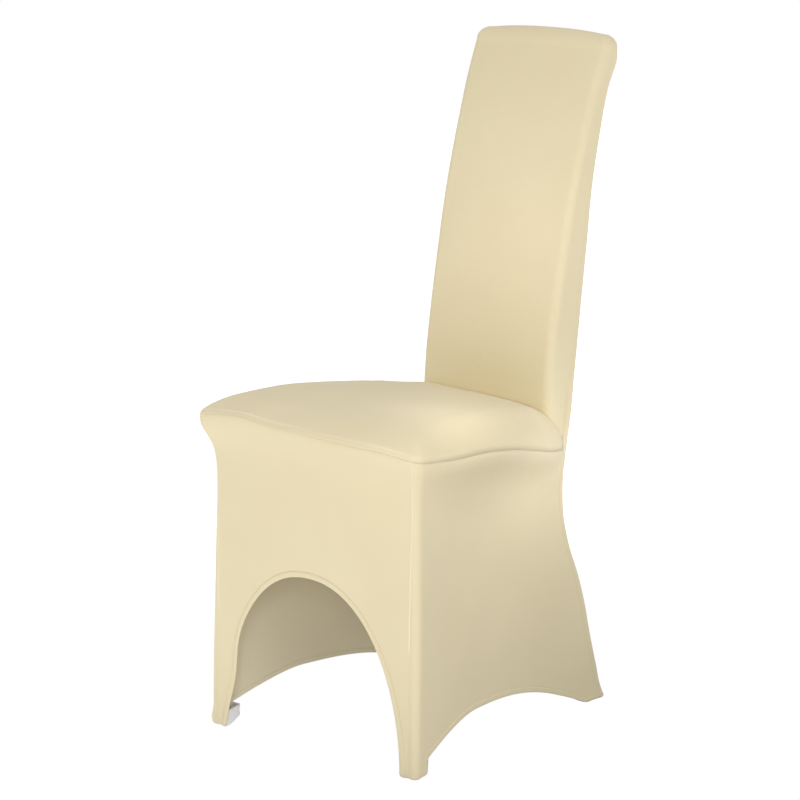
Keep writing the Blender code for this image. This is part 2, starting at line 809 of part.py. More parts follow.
def pocket(name, corners_at, mirrored):
    """An open cup with a flat sole that thickens into its walls."""
    fillet_width, fillet_height = POCKET_FILLET

    def ring(inset, z):
        corners = corners_at(z)
        middle = np.mean(corners, axis=0)
        moved = [tuple(np.array(c) - np.sign(np.array(c) - middle) * inset) for c in corners]
        return rounded_ring(moved, max(POCKET_CORNER - inset, 0.001), z)

    rings = [
        ring(0.0, 0.0),
        ring(0.0, POCKET_HEIGHT / 2),
        ring(0.0, POCKET_HEIGHT),
        ring(POCKET_CLOTH, POCKET_HEIGHT),
        ring(POCKET_CLOTH, POCKET_HEIGHT / 2),
        ring(POCKET_CLOTH, POCKET_CLOTH + fillet_height),
        ring(POCKET_CLOTH + fillet_width, POCKET_CLOTH),
    ]
    count = len(rings[0])
    places = [p for r in rings for p in r]
    faces = [tuple(range(count))[::-1]]
    for r in range(len(rings) - 1):
        for i in range(count):
            j = (i + 1) % count
            faces.append((r * count + i, r * count + j, (r + 1) * count + j, (r + 1) * count + i))
    faces.append(tuple(range((len(rings) - 1) * count, len(rings) * count)))
    if mirrored:
        places = [(-x, y, z) for x, y, z in places]
        faces = [f[::-1] for f in faces]
    return add_object(name, "sole_webbing", places, faces)


def build():
    clear_scene()
    side = side_sheet()
    sheets = [front_sheet(), side, side.mirrored("side_skirt_left"), back_sheet(), inner_sheet(), seat_sheet()]
    normals = shared_normals(sheets)
    for sheet in sheets:
        add_object(sheet.name, sheet.finish, *thicken(sheet, normals))
    for end, corners_at in (("front", front_pocket_corners), ("rear", rear_pocket_corners)):
        pocket(f"foot_pocket_{end}_right", corners_at, mirrored=False)
        pocket(f"foot_pocket_{end}_left", corners_at, mirrored=True)


build()
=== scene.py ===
import math

import bpy
import numpy as np
from mathutils import Matrix, Vector


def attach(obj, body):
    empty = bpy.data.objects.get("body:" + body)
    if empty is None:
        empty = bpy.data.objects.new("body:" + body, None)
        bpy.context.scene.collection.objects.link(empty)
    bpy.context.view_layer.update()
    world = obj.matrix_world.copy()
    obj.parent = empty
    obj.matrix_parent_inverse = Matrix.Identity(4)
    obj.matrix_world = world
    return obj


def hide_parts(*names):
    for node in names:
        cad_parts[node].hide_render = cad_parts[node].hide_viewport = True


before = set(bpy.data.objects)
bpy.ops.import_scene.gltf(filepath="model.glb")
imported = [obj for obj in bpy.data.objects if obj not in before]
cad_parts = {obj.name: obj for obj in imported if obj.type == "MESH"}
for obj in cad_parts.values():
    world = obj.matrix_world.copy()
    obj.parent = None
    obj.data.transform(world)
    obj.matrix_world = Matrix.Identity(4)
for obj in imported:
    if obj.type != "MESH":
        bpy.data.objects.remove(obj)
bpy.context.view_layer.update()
print("stage: frame loaded")

# Sizes that several panels share, in metres. The y of the tables starts middleY in front of the frame's own.
cover = {
    "middleY": 0.0662,
    "cloth": 0.0016,
    "lowest": 0.0004,
    "seamPart": 0.00005,  # how far each panel's edge keeps from the seam line
    "rearSeamTop": 0.4150,
    "rearSeamIn": 0.0150,
    "frontSeamIn": 0.0130,
    "seamLead": 0.0010,
    "seamPower": 8,
    "flare": 0.0340,
    "frontFootDepth": 0.0330,
    "rearFootDepth": 0.0480,
    "rearFootWidth": 0.0300,
}

# height, front corner's x, its y, its rounding, bow of the side
legRows = [
    (0.000, 0.2120, -0.2070, 0.009, 0.0170),
    (0.120, 0.2110, -0.2055, 0.010, 0.0165),
    (0.260, 0.2085, -0.2030, 0.012, 0.0150),
    (0.400, 0.2050, -0.2005, 0.014, 0.0100),
    (0.500, 0.2040, -0.1995, 0.016, 0.0060),
]

# height, degrees round the front corner where the front seam lies
seamTurnRows = [(0.000, 0.0), (0.200, 0.0), (0.300, 15.0), (0.400, 38.0), (0.500, 39.0)]

# height, half width of the back, y of its rear
rearRows = [
    (0.000, 0.1690, 0.3120), (0.030, 0.1665, 0.3005), (0.057, 0.1645, 0.2945),
    (0.109, 0.1590, 0.2850), (0.160, 0.1530, 0.2780), (0.211, 0.1468, 0.2675),
    (0.270, 0.1410, 0.2490), (0.322, 0.1375, 0.2405), (0.369, 0.1342, 0.2440),
    (0.409, 0.1325, 0.2520), (0.453, 0.1315, 0.2615), (0.547, 0.1310, 0.2745),
    (0.641, 0.1312, 0.2860), (0.735, 0.1315, 0.2985), (0.829, 0.1322, 0.3105),
    (0.920, 0.1330, 0.3305), (0.962, 0.1335, 0.3410), (0.984, 0.1338, 0.3490),
    (1.002, 0.1340, 0.3590), (1.018, 0.1342, 0.3665), (1.040, 0.1342, 0.3675),
]

# height, y of the backrest's front face
faceRows = [
    (0.400, 0.2000), (0.490, 0.2005), (0.550, 0.2045), (0.600, 0.2115), (0.700, 0.2295),
    (0.800, 0.2515), (0.900, 0.2810), (1.000, 0.3170), (1.040, 0.3340),
]

# y, height of the pad's rim
rimRows = [
    (-0.240, 0.5045), (-0.227, 0.5000), (-0.215, 0.4920), (-0.195, 0.4855), (-0.165, 0.4815),
    (-0.130, 0.4780), (-0.100, 0.4755), (-0.027, 0.4690), (0.040, 0.4600), (0.126, 0.4415),
    (0.170, 0.4305), (0.2385, cover["rearSeamTop"]), (0.260, 0.4080),
]

# y, height of the pad's crown
crownRows = [
    (-0.240, 0.5185), (-0.150, 0.5250), (-0.085, 0.5262), (-0.010, 0.5212), (0.060, 0.5142),
    (0.120, 0.5072), (0.170, 0.4955), (0.260, 0.4810),
]


# A smooth curve through one column of a table, as a function of the first column
def curveThrough(rows, column):
    xs = np.array([row[0] for row in rows])
    ys = np.array([row[column] for row in rows])
    rises = np.diff(ys) / np.diff(xs)
    slopes = np.zeros(len(xs))
    slopes[0], slopes[-1] = rises[0], rises[-1]
    for k in range(1, len(rises)):
        before, after = xs[k] - xs[k - 1], xs[k + 1] - xs[k]
        if rises[k - 1] * rises[k] > 0:
            slopes[k] = (rises[k - 1] * after + rises[k] * before) / (before + after)

    def at(place):
        place = np.clip(place, xs[0], xs[-1])
        i = np.clip(np.searchsorted(xs, place) - 1, 0, len(xs) - 2)
        span = xs[i + 1] - xs[i]
        t = (place - xs[i]) / span
        low = ys[i] * (1 + 2 * t) * (1 - t) ** 2 + span * slopes[i] * t * (1 - t) ** 2
        return low + ys[i + 1] * t * t * (3 - 2 * t) - span * slopes[i + 1] * t * t * (1 - t)

    return at


legX, legY, legRound, legBow = (curveThrough(legRows, k) for k in (1, 2, 3, 4))
seamTurn = curveThrough(seamTurnRows, 1)
rearHalf, rearY = curveThrough(rearRows, 1), curveThrough(rearRows, 2)
faceY = curveThrough(faceRows, 1)
rimHeight = curveThrough(rimRows, 1)
crownHeight = curveThrough(crownRows, 1)


def stack(x, y, z):
    return np.stack(np.broadcast_arrays(x, y, z), axis=-1)


def smoothStep(low, high, value):
    t = np.clip((value - low) / (high - low), 0.0, 1.0)
    return t * t * (3 - 2 * t)


def bell(value, middle, width):
    return np.exp(-((value - middle) / width) ** 2)


# Plan of the skirts: q runs from the front seam (0) round the corner to the rear seam (1)
plan = {
    "cornerStart": 0.10,
    "cornerEnd": 0.28,
    "rimHalfWidth": 0.2250,
    "rimFrontY": -0.2230,
    "rimFrontBow": 0.0120,
    "rimCorner": 0.0220,
    "rimSeamTurn": 39.0,
    "rimHandles": ((0.2080, 0.0200), (0.1820, 0.1650)),
    "frontBow": 0.0070,
}


def cornerPath(q, tip, radius, turn, lead, handles, stop):
    first, last = plan["cornerStart"], plan["cornerEnd"]
    ahead = 1 - np.clip(q / first, 0.0, 1.0)
    angle = turn + (math.pi / 2 - turn) * np.clip((q - first) / (last - first), 0.0, 1.0)
    t = np.clip((q - last) / (1 - last), 0.0, 1.0)
    weights = ((1 - t) ** 3, 3 * (1 - t) ** 2 * t, 3 * (1 - t) * t * t, t ** 3)
    start = (tip[0], tip[1] + radius)
    rounded = (tip[0] - radius + radius * np.sin(angle) - lead * ahead * np.cos(turn),
               tip[1] + radius - radius * np.cos(angle) - lead * ahead * np.sin(turn))
    places = []
    for k in (0, 1):
        corners = (start[k], handles[0][k], handles[1][k], stop[k])
        places.append(np.where(q < last, rounded[k], sum(w * c for w, c in zip(weights, corners))))
    return places


def rearSeam(z):
    return rearHalf(z), rearY(z) - cover["rearSeamIn"]


def legPlan(q, z):
    tip = (legX(z), legY(z))
    radius = legRound(z)
    bow = legBow(z) * 4 / 3
    start, stop = (tip[0], tip[1] + radius), rearSeam(z)
    handles = []
    for t in (1 / 3, 2 / 3):
        handles.append((start[0] + (stop[0] - start[0]) * t - bow, start[1] + (stop[1] - start[1]) * t))
    lead = np.maximum(cover["frontSeamIn"] - radius, cover["seamLead"])
    return cornerPath(q, tip, radius, np.radians(seamTurn(z)), lead, handles, stop)


def rimPlan(q):
    tip = (plan["rimHalfWidth"], plan["rimFrontY"])
    turn = np.radians(plan["rimSeamTurn"])
    stop = rearSeam(cover["rearSeamTop"])
    return cornerPath(q, tip, plan["rimCorner"], turn, cover["seamLead"], plan["rimHandles"], stop)


def flared(low, lowAtTop, rim, drop):
    share = 1 / (1 + (np.maximum(drop, 0.0) / cover["flare"]) ** 3)
    return [a + (c - b) * share for a, b, c in zip(low, lowAtTop, rim)]


def sideTop(q):
    return np.where(q >= 1, cover["rearSeamTop"], rimHeight(rimPlan(q)[1]))


def sidePoint(q, z):
    top = sideTop(q)
    return stack(*flared(legPlan(q, z), legPlan(q, top), rimPlan(q), top - z), z)


# The front face swells forward in its middle and turns in to the seam at its ends
def acrossFront(p, seam, faceLine, bow):
    return p * seam[0], faceLine - bow * (1 - p * p) + (seam[1] - faceLine) * np.abs(p) ** cover["seamPower"]


def frontRim(p):
    return acrossFront(p, rimPlan(np.array(0.0)), plan["rimFrontY"], plan["rimFrontBow"])


def frontTop(p):
    return rimHeight(frontRim(p)[1])


def frontPoint(p, z):
    top = frontTop(p)
    lows = []
    for height in (z, top):
        lows.append(acrossFront(p, legPlan(np.array(0.0), height), legY(height), plan["frontBow"]))
    return stack(*flared(lows[0], lows[1], frontRim(p), top - z), z)


# Places across a run of cloth: fine ones at both ends, even ones between; the run may differ for each column
fine = {
    "seam": [0.0, 0.0006, 0.0013, 0.0021, 0.0032, 0.0048, 0.0070],
    "hem": [0.0, 0.0003, 0.0009, 0.0020, 0.0042, 0.0066, 0.0080, 0.0087, 0.0092, 0.0098, 0.0110, 0.0135],
    "none": [0.0],
}
roomBetween = 0.004  # left between the fine places of a short run
pathSteps = 1200     # places along a skirt's plan when one of its depths is looked up


def shares(run, first, last, count):
    run = np.atleast_1d(np.asarray(run, dtype=float))
    starts, stops = fine[first], fine[last][::-1]
    squeeze = np.minimum(1.0, run / (starts[-1] + stops[0] + roomBetween))
    rows = [d * squeeze / run for d in starts]
    ends = [1 - d * squeeze / run for d in stops]
    rows += [rows[-1] + (ends[0] - rows[-1]) * k / (count + 1) for k in range(1, count + 1)] + ends
    return np.array(rows)


# Unevenness of the whole cover, the same for every panel so that the seams still meet
uneven = {
    "wander": 0.0007,
    "wanderFrom": 0.06,        # full from this height up
    "xWave": (9.0, 5.0, 0.6),  # turns by height and by depth, and the start
    "yWave": (7.0, 6.0, 2.1),  # turns by height and by width, and the start
    "footRound": 0.0055,
    "feet": [(0.1940, -0.1885), (0.1518, 0.2860)],
    "footReach": 0.045,
    "footGap": 0.0020,         # the pockets show this far under the cloth
    "footGapTop": 0.030,
    "toeBulge": 0.0030,        # on the left side
    "toeBulgeAt": (0.013, 0.011),  # its height, and how far above and below it fades
    "centreY": 0.010,
    "rimBand": 0.034,
    "rimFade": (0.235, 0.150),
    "creaseBand": 0.040,
    "creaseDepths": (0.120, 0.190),
    "creaseHeights": (0.440, 0.475),
    "creaseTop": (0.490, 0.495),
    "creaseHalf": 0.20,
}

# How much the pad's edge rides up, by the bearing from the pad's centre: 0 is its front, left is below 0
rimLift = curveThrough([
    (-2.60, 0.0), (-1.60, 0.0015), (-0.90, 0.0030), (-0.76, 0.0040), (-0.63, 0.0050), (-0.457, 0.0082),
    (-0.338, 0.0052), (-0.174, 0.0016), (0.0, 0.0), (0.257, -0.0029), (0.418, -0.0045), (0.600, -0.0051),
    (0.740, -0.0070), (0.790, -0.0040), (0.830, -0.0024), (1.02, -0.0022), (1.32, 0.0), (1.77, -0.0011),
    (2.07, -0.0016), (2.52, -0.0018), (2.62, -0.0015),
], 1)

# And how much the crease under the backrest rides up, by x
creaseLift = curveThrough([
    (-0.132, 0.0060), (-0.106, 0.0063), (-0.060, 0.0042), (0.0, 0.0027), (0.030, 0.0015), (0.053, -0.0002),
    (0.085, -0.0029), (0.105, -0.0052), (0.120, -0.0052), (0.132, -0.0038),
], 1)


def unevenly(p):
    p = p.copy()
    x, y, z = p[..., 0], p[..., 1], p[..., 2]
    rimZ = rimHeight(y)
    bearing = np.arctan2(x, -(y - uneven["centreY"]))
    rise = rimLift(bearing) * bell(z, rimZ, uneven["rimBand"]) * smoothStep(*uneven["rimFade"], y)
    atCrease = smoothStep(*uneven["creaseDepths"], y) * smoothStep(*uneven["creaseHeights"], z)
    fadeTop, fullTop = uneven["creaseTop"]
    below = smoothStep(fadeTop + uneven["creaseBand"], fullTop, z)
    rise += creaseLift(x) * atCrease * below * (np.abs(x) < uneven["creaseHalf"])
    p[..., 2] += rise
    calm = smoothStep(0.0, uneven["wanderFrom"], z)
    byHeight, byDepth, start = uneven["xWave"]
    p[..., 0] += uneven["wander"] * calm * np.sin(byHeight * z + byDepth * y + start)
    byHeight, byWidth, start = uneven["yWave"]
    p[..., 1] += uneven["wander"] * calm * np.sin(byHeight * z - byWidth * x + start)
    radius = uneven["footRound"]
    low = np.clip(1 - z / radius, 0.0, 1.0)
    tuck = radius * (1 - np.sqrt(1 - low * low))
    for footX, footY in uneven["feet"]:
        for side in (-1, 1):
            dx, dy = footX * side - x, footY - y
            reach = np.hypot(dx, dy)
            inward = tuck - (side < 0) * uneven["toeBulge"] * bell(z, *uneven["toeBulgeAt"])
            near = (reach < uneven["footReach"]) * inward / np.maximum(reach, 1e-6)
            p[..., 0] += dx * near
            p[..., 1] += dy * near
    p[..., 2] += uneven["footGap"] * np.clip(1 - z / uneven["footGapTop"], 0.0, 1.0)
    return p


# Soft folds and ridges, listed one by one: panel, one end, other end, half width, height (a trough is below
# 0)
foldRows = [
    ("seatPanel", (0.118, 0.196, 0.489), (0.168, 0.120, 0.470), 0.0080, -0.0016),
    ("seatPanel", (0.128, 0.214, 0.470), (0.160, 0.172, 0.450), 0.0060, 0.0012),
    ("seatPanel", (-0.118, 0.196, 0.489), (-0.160, 0.135, 0.472), 0.0075, -0.0014),
    ("seatPanel", (-0.050, -0.232, 0.512), (-0.150, -0.226, 0.512), 0.0045, 0.0010),
    ("seatPanel", (0.120, -0.232, 0.508), (0.190, -0.222, 0.505), 0.0050, 0.0008),
    ("sideSkirtRight", (0.196, -0.150, 0.060), (0.150, 0.150, 0.400), 0.0260, 0.0012),
    ("sideSkirtRight", (0.190, 0.020, 0.440), (0.196, -0.120, 0.300), 0.0240, -0.0015),
    ("sideSkirtRight", (0.140, 0.215, 0.400), (0.158, 0.150, 0.370), 0.0080, -0.0011),
    ("sideSkirtLeft", (-0.196, -0.150, 0.060), (-0.150, 0.150, 0.400), 0.0260, 0.0012),
    ("sideSkirtLeft", (-0.140, 0.215, 0.400), (-0.162, 0.140, 0.360), 0.0080, -0.0010),
    ("frontSkirt", (-0.190, -0.205, 0.120), (-0.120, -0.212, 0.330), 0.0160, 0.0008),
    ("frontSkirt", (0.190, -0.205, 0.120), (0.135, -0.212, 0.340), 0.0160, 0.0009),
    ("frontSkirt", (0.198, -0.215, 0.470), (0.120, -0.215, 0.420), 0.0120, -0.0009),
    ("innerBack", (-0.110, 0.320, 1.000), (0.110, 0.320, 1.008), 0.0130, -0.0010),
    ("innerBack", (-0.128, 0.235, 0.560), (-0.060, 0.203, 0.500), 0.0100, -0.0008),
    ("innerBack", (0.128, 0.235, 0.590), (0.070, 0.203, 0.500), 0.0110, -0.0012),
    ("innerBack", (0.1315, 0.246, 0.435), (0.1310, 0.256, 0.540), 0.0045, -0.0032),
    ("backPanel", (0.1315, 0.246, 0.435), (0.1310, 0.256, 0.540), 0.0045, -0.0032),
    ("backPanel", (-0.150, 0.275, 0.160), (-0.060, 0.242, 0.330), 0.0180, 0.0009),
    ("backPanel", (0.150, 0.275, 0.160), (0.060, 0.242, 0.330), 0.0180, 0.0009),
    ("backPanel", (-0.120, 0.360, 1.012), (0.120, 0.360, 1.006), 0.0120, -0.0012),
]


foldEndShare = 0.35      # how much of a fold's height is left at its ends
foldEnds = (0.02, 0.98)  # and how near to them its height still changes


def foldHeight(name, p):
    total = np.zeros(p.shape[:-1])
    for panel, one, other, width, height in foldRows:
        if panel != name:
            continue
        a, b = np.array(one), np.array(other)
        t = np.clip(((p - a) @ (b - a)) / ((b - a) @ (b - a)), 0.0, 1.0)
        away = np.linalg.norm(p - (a + t[..., None] * (b - a)), axis=-1)
        fade = foldEndShare + (1 - foldEndShare) * np.sin(math.pi * np.clip(t, *foldEnds))
        total += height * np.exp(-(away / width) ** 2) * fade
    return total


# How a hem and a seam stand off the cloth, by the distance from the edge
relief = {
    "hemInner": 0.0080,    # the turned hem ends between these two
    "hemOuter": 0.0092,
    "hemGrooveWidth": 0.0007,
    "hemSwell": 0.0007,    # a turned hem is this much thicker on each side
    "hemRoll": 0.0016,
    "hemGroove": 0.0008,
    "hemShare": {"frontSkirt": 1.0, "backPanel": 0.6},  # the side skirts' hems lie flatter
    "plainHemShare": 0.35,
    "seamDepth": 0.00022,
    "seamReach": 0.0014,
    "seamSwell": 0.00012,
    "seamSwellAt": (0.0048, 0.0022),
    "seamFar": 0.03,
    "innerSeamShare": 0.6,
    "puckerDepth": 0.00024,
    "puckerReach": 0.0065,
    "puckerStep": 0.0105,
    "puckerSlant": (1.05, 0.95),
    "puckerDrift": (1.7, 0.23),     # how far the puckers wander, and how slowly
    "weltHeight": 0.00055,
    "cornerPlain": (0.165, 0.200),  # below this height the front seams hardly show
    "cornerFade": 0.9,
    "cornerFront": -0.15,
}


def hemBand(d):
    return relief["hemSwell"] * (1 - smoothStep(relief["hemInner"], relief["hemOuter"], d))


def hemLine(d):
    return bell(d, relief["hemOuter"], relief["hemGrooveWidth"])


def hemRelief(d, hemShare):
    band = hemBand(d)
    groove = relief["hemGroove"] * hemShare * hemLine(d)
    roll = relief["hemRoll"]
    edge = np.clip(1 - d / roll, 0.0, 1.0)
    return band - groove, (cover["cloth"] / 2 + relief["hemSwell"]) * (1 - np.sqrt(1 - edge * edge))


# How plainly a seam shows at a place: the front ones fade out towards the feet
def seamShare(p):
    low, high = relief["cornerPlain"]
    return 1 - relief["cornerFade"] * smoothStep(high, low, p[..., 2]) * (p[..., 1] < relief["cornerFront"])


def seamRelief(d, p):
    groove = relief["seamDepth"] * np.exp(-(d / relief["seamReach"]) ** 2)
    swell = relief["seamSwell"] * bell(d, *relief["seamSwellAt"])
    slantX, slantY = relief["puckerSlant"]
    drift, slow = relief["puckerDrift"]
    along = (p[..., 0] * slantX + p[..., 1] * slantY + p[..., 2]) * 2 * math.pi / relief["puckerStep"]
    wave = 0.5 + 0.5 * np.sin(along + drift * np.sin(along * slow))
    pucker = relief["puckerDepth"] * wave * np.exp(-(d / relief["puckerReach"]) ** 2)
    return (swell - groove - pucker) * seamShare(p)


def runs(grid, axis):
    lengths = np.linalg.norm(np.diff(grid, axis=axis), axis=-1)
    total = np.cumsum(lengths, axis=axis)
    pad = [(0, 0), (0, 0)]
    pad[axis] = (1, 0)
    fromFirst = np.pad(total, pad)
    whole = np.take(fromFirst, [-1], axis=axis)
    return fromFirst, whole - fromFirst


# One panel from its grid. The edges that are named are seams or hems, and inside is a place behind the panel.
def makePanel(name, grid, edges, inside, closed=False, middle=None, welts=None):
    grid = unevenly(grid)
    rowFirst, rowLast = runs(grid, 0)
    columnFirst, columnLast = runs(grid, 1)
    ways = {"firstRow": rowFirst, "lastRow": rowLast, "firstColumn": columnFirst, "lastColumn": columnLast}
    far = np.full(grid.shape[:2], 1.0)
    hem, seam = far.copy(), far.copy()
    for edge, kind in edges.items():
        if kind == "hem":
            hem = np.minimum(hem, ways[edge])
        if kind == "seam":
            seam = np.minimum(seam, ways[edge])
    rowCount, columnCount = grid.shape[:2]
    index = np.arange(rowCount * columnCount).reshape(rowCount, columnCount)
    right = np.roll(index, -1, axis=1) if closed else index[:, 1:]
    left = index if closed else index[:, :-1]
    quads = np.stack([left[:-1], right[:-1], right[1:], left[1:]], axis=-1).reshape(-1, 4)
    panel = {
        "name": name,
        "points": grid.reshape(-1, 3),
        "faces": [tuple(quad) for quad in quads.tolist()],
        "hem": hem.ravel(),
        "seam": seam.ravel(),
        "uv": np.stack([columnFirst - columnFirst[:, [columnCount // 2]], rowFirst], axis=-1).reshape(-1, 2),
        "columns": columnCount,
        "welt": np.zeros(rowCount * columnCount),
    }
    if welts is not None:
        panel["welt"] = welts(grid, ways).ravel()
    if closed:
        panel["uv"] = grid[..., :2].reshape(-1, 2).copy()
    if middle is not None:
        last = index[-1].tolist()
        panel["points"] = np.vstack([panel["points"], unevenly(np.array([middle]))])
        for key, value in (("hem", 1.0), ("seam", 1.0), ("welt", 0.0)):
            panel[key] = np.append(panel[key], value)
        panel["uv"] = np.vstack([panel["uv"], [middle[:2]]])
        hub = len(panel["points"]) - 1
        panel["faces"] += [(last[i], last[(i + 1) % len(last)], hub) for i in range(len(last))]
    weld(panel)
    face = faceNormals(panel)
    centres = np.array([panel["points"][list(f)].mean(axis=0) for f in panel["faces"]])
    if (face * (centres - np.array(inside))).sum() < 0:
        panel["faces"] = [f[::-1] for f in panel["faces"]]
    return panel


weldDigits = 6
meetDigits = 5


# Points at one place become one point, and faces that lose their area go
def weld(panel):
    keys = np.round(panel["points"], weldDigits)
    places, firsts, same = np.unique(keys, axis=0, return_index=True, return_inverse=True)
    same = same.ravel()
    for key in ("points", "hem", "seam", "uv", "welt"):
        panel[key] = panel[key][firsts]
    panel["order"] = same
    faces = []
    for f in panel["faces"]:
        ring = [int(same[i]) for i in f]
        ring = [v for k, v in enumerate(ring) if v != ring[k - 1]]
        if len(set(ring)) >= 3:
            faces.append(tuple(ring))
    panel["faces"] = faces


# Each face's normal, as long as twice the face's area
def faceNormals(panel):
    normals = []
    for f in panel["faces"]:
        a = panel["points"][list(f)]
        if len(f) == 4:
            normals.append(np.cross(a[2] - a[0], a[-1] - a[1]))
        else:
            normals.append(np.cross(a[1] - a[0], a[2] - a[0]))
    return np.array(normals)


# Normals at each point, shared evenly by the panels that meet there
def shareNormals(panels):
    meeting = {}
    for panel in panels:
        total = np.zeros_like(panel["points"])
        for f, n in zip(panel["faces"], faceNormals(panel)):
            for i in f:
                total[i] += n
        panel["normals"] = total / np.maximum(np.linalg.norm(total, axis=1, keepdims=True), 1e-12)
        edges = {}
        for f in panel["faces"]:
            for a, b in zip(f, f[1:] + f[:1]):
                key = (min(a, b), max(a, b))
                edges[key] = edges.get(key, 0) + 1
        panel["rim"] = [(a, b) for f in panel["faces"] for a, b in zip(f, f[1:] + f[:1])
                        if edges[(min(a, b), max(a, b))] == 1]
        for i in {v for pair in panel["rim"] for v in pair}:
            meeting.setdefault(tuple(np.round(panel["points"][i], meetDigits) + 0.0), []).append((panel, i))
    for members in meeting.values():
        if len(members) > 1:
            shared = sum(panel["normals"][i] for panel, i in members)
            shared /= max(np.linalg.norm(shared), 1e-9)
            for panel, i in members:
                panel["normals"][i] = shared


def hemShareOf(panel):
    return relief["hemShare"].get(panel["name"], relief["plainHemShare"])


# The panel as a closed thin piece: outer side with its relief, inner side, and the edge between them
def clothMesh(panel):
    points, normals = panel["points"], panel["normals"]
    band, roll = hemRelief(panel["hem"], hemShareOf(panel))
    folds = foldHeight(panel["name"], points)
    seams = seamRelief(panel["seam"], points) * (panel["seam"] < relief["seamFar"])
    outward = band + seams
    outward += folds + panel["welt"] - roll
    inward = -cover["cloth"] - hemBand(panel["hem"]) + roll
    inward += seams * relief["innerSeamShare"] + folds
    pulls = np.zeros_like(points)
    for a, b in panel["rim"]:
        way = np.cross(normals[a], points[b] - points[a])
        way /= max(np.linalg.norm(way), 1e-9)
        pulls[a] += way
        pulls[b] += way
    size = np.linalg.norm(pulls, axis=1, keepdims=True)
    pulls = pulls / np.maximum(size, 1e-9) * cover["seamPart"] * (size > 1e-6)
    outer = points + normals * outward[:, None] + pulls
    inner = points + normals * inward[:, None] + pulls
    for side in (outer, inner):
        side[:, 2] = np.maximum(side[:, 2], cover["lowest"])
    count = len(points)
    faces = list(panel["faces"])
    faces += [tuple(i + count for i in reversed(f)) for f in panel["faces"]]
    faces += [(b, a, a + count, b + count) for a, b in panel["rim"]]
    panel["outer"] = outer
    return np.vstack([outer, inner]), faces


def addMesh(name, points, faces, material, uv=None, marks=None):
    mesh = bpy.data.meshes.new(name)
    places = np.array(points, dtype=float)
    places[:, 1] -= cover["middleY"]
    mesh.from_pydata(places.tolist(), [], faces)
    mesh.shade_smooth()
    if uv is not None:
        layer = mesh.uv_layers.new(name="clothUv")
        loops = np.zeros(len(mesh.loops), dtype=np.int32)
        mesh.loops.foreach_get("vertex_index", loops)
        layer.data.foreach_set("uv", np.asarray(uv)[loops].ravel())
    for key, values in (marks or {}).items():
        layer = mesh.attributes.new(key, "FLOAT", "POINT")
        layer.data.foreach_set("value", np.asarray(values, dtype=float))
    mesh.materials.append(material)
    piece = bpy.data.objects.new(name, mesh)
    bpy.context.scene.collection.objects.link(piece)
    return piece


print("stage: shapes ready")


def setInput(tree, target, value):
    if isinstance(value, bpy.types.NodeSocket):
        tree.links.new(value, target)
    else:
        target.default_value = value


def addNode(tree, kind, settings=None, inputs=None):
    node = tree.nodes.new(kind)
    for key, value in (settings or {}).items():
        setattr(node, key, value)
    for key, value in (inputs or {}).items():
        setInput(tree, node.inputs[key], value)
    return node


def mathNode(tree, operation, *values):
    return addNode(tree, "ShaderNodeMath", {"operation": operation}, dict(enumerate(values))).outputs[0]


def newGroup(name, inputs, outputs):
    tree = bpy.data.node_groups.new(name, "ShaderNodeTree")
    for label, kind, value in inputs:
        made = tree.interface.new_socket(name=label, in_out="INPUT", socket_type=kind)
        if value is not None:
            made.default_value = value
    for label, kind in outputs:
        tree.interface.new_socket(name=label, in_out="OUTPUT", socket_type=kind)
    return tree, tree.nodes.new("NodeGroupInput"), tree.nodes.new("NodeGroupOutput")


# Fine stretch knit: narrow ribs with small slanted loops on them
def knitGroup():
    tree, given, out = newGroup(
        "stretchKnit",
        [
            ("Vector", "NodeSocketVector", None),
            ("Rib", "NodeSocketFloat", 0.0010),
            ("Loop", "NodeSocketFloat", 0.0008),
        ],
        [("Height", "NodeSocketFloat"), ("Tone", "NodeSocketFloat")],
    )
    split = addNode(tree, "ShaderNodeSeparateXYZ", None, {0: given.outputs["Vector"]})
    across = mathNode(tree, "DIVIDE", split.outputs[0], given.outputs["Rib"])
    along = mathNode(tree, "DIVIDE", split.outputs[1], given.outputs["Loop"])
    place = mathNode(tree, "FRACT", across)
    slant = mathNode(tree, "ABSOLUTE", mathNode(tree, "SUBTRACT", place, 0.5))
    rib = mathNode(tree, "SINE", mathNode(tree, "MULTIPLY", place, math.pi))
    turn = mathNode(tree, "MULTIPLY", mathNode(tree, "ADD", along, slant), 2 * math.pi)
    loop = mathNode(tree, "MULTIPLY_ADD", mathNode(tree, "SINE", turn), 0.25, 0.75)  # from 0.5 to 1
    height = mathNode(tree, "MULTIPLY", rib, loop)
    tree.links.new(height, out.inputs["Height"])
    tree.links.new(mathNode(tree, "MULTIPLY_ADD", height, 0.5, 0.5), out.inputs["Tone"])
    return tree


fineToneShare = 60.0  # how many times finer the gloss changes than the tone


# Slow change of tone and gloss over the cloth, as stretched knit has
def toneGroup():
    tree, given, out = newGroup(
        "clothTone",
        [("Vector", "NodeSocketVector", None), ("Scale", "NodeSocketFloat", 7.0)],
        [("Broad", "NodeSocketFloat"), ("Fine", "NodeSocketFloat")],
    )
    place, scale = given.outputs["Vector"], given.outputs["Scale"]
    broad = addNode(tree, "ShaderNodeTexNoise", None,
                    {"Vector": place, "Scale": scale, "Detail": 3.0, "Roughness": 0.5})
    small = mathNode(tree, "MULTIPLY", scale, fineToneShare)
    grain = addNode(tree, "ShaderNodeTexNoise", None,
                    {"Vector": place, "Scale": small, "Detail": 2.0, "Roughness": 0.6})
    tree.links.new(broad.outputs["Fac"], out.inputs["Broad"])
    tree.links.new(grain.outputs["Fac"], out.inputs["Fine"])
    return tree


knit = knitGroup()
tone = toneGroup()

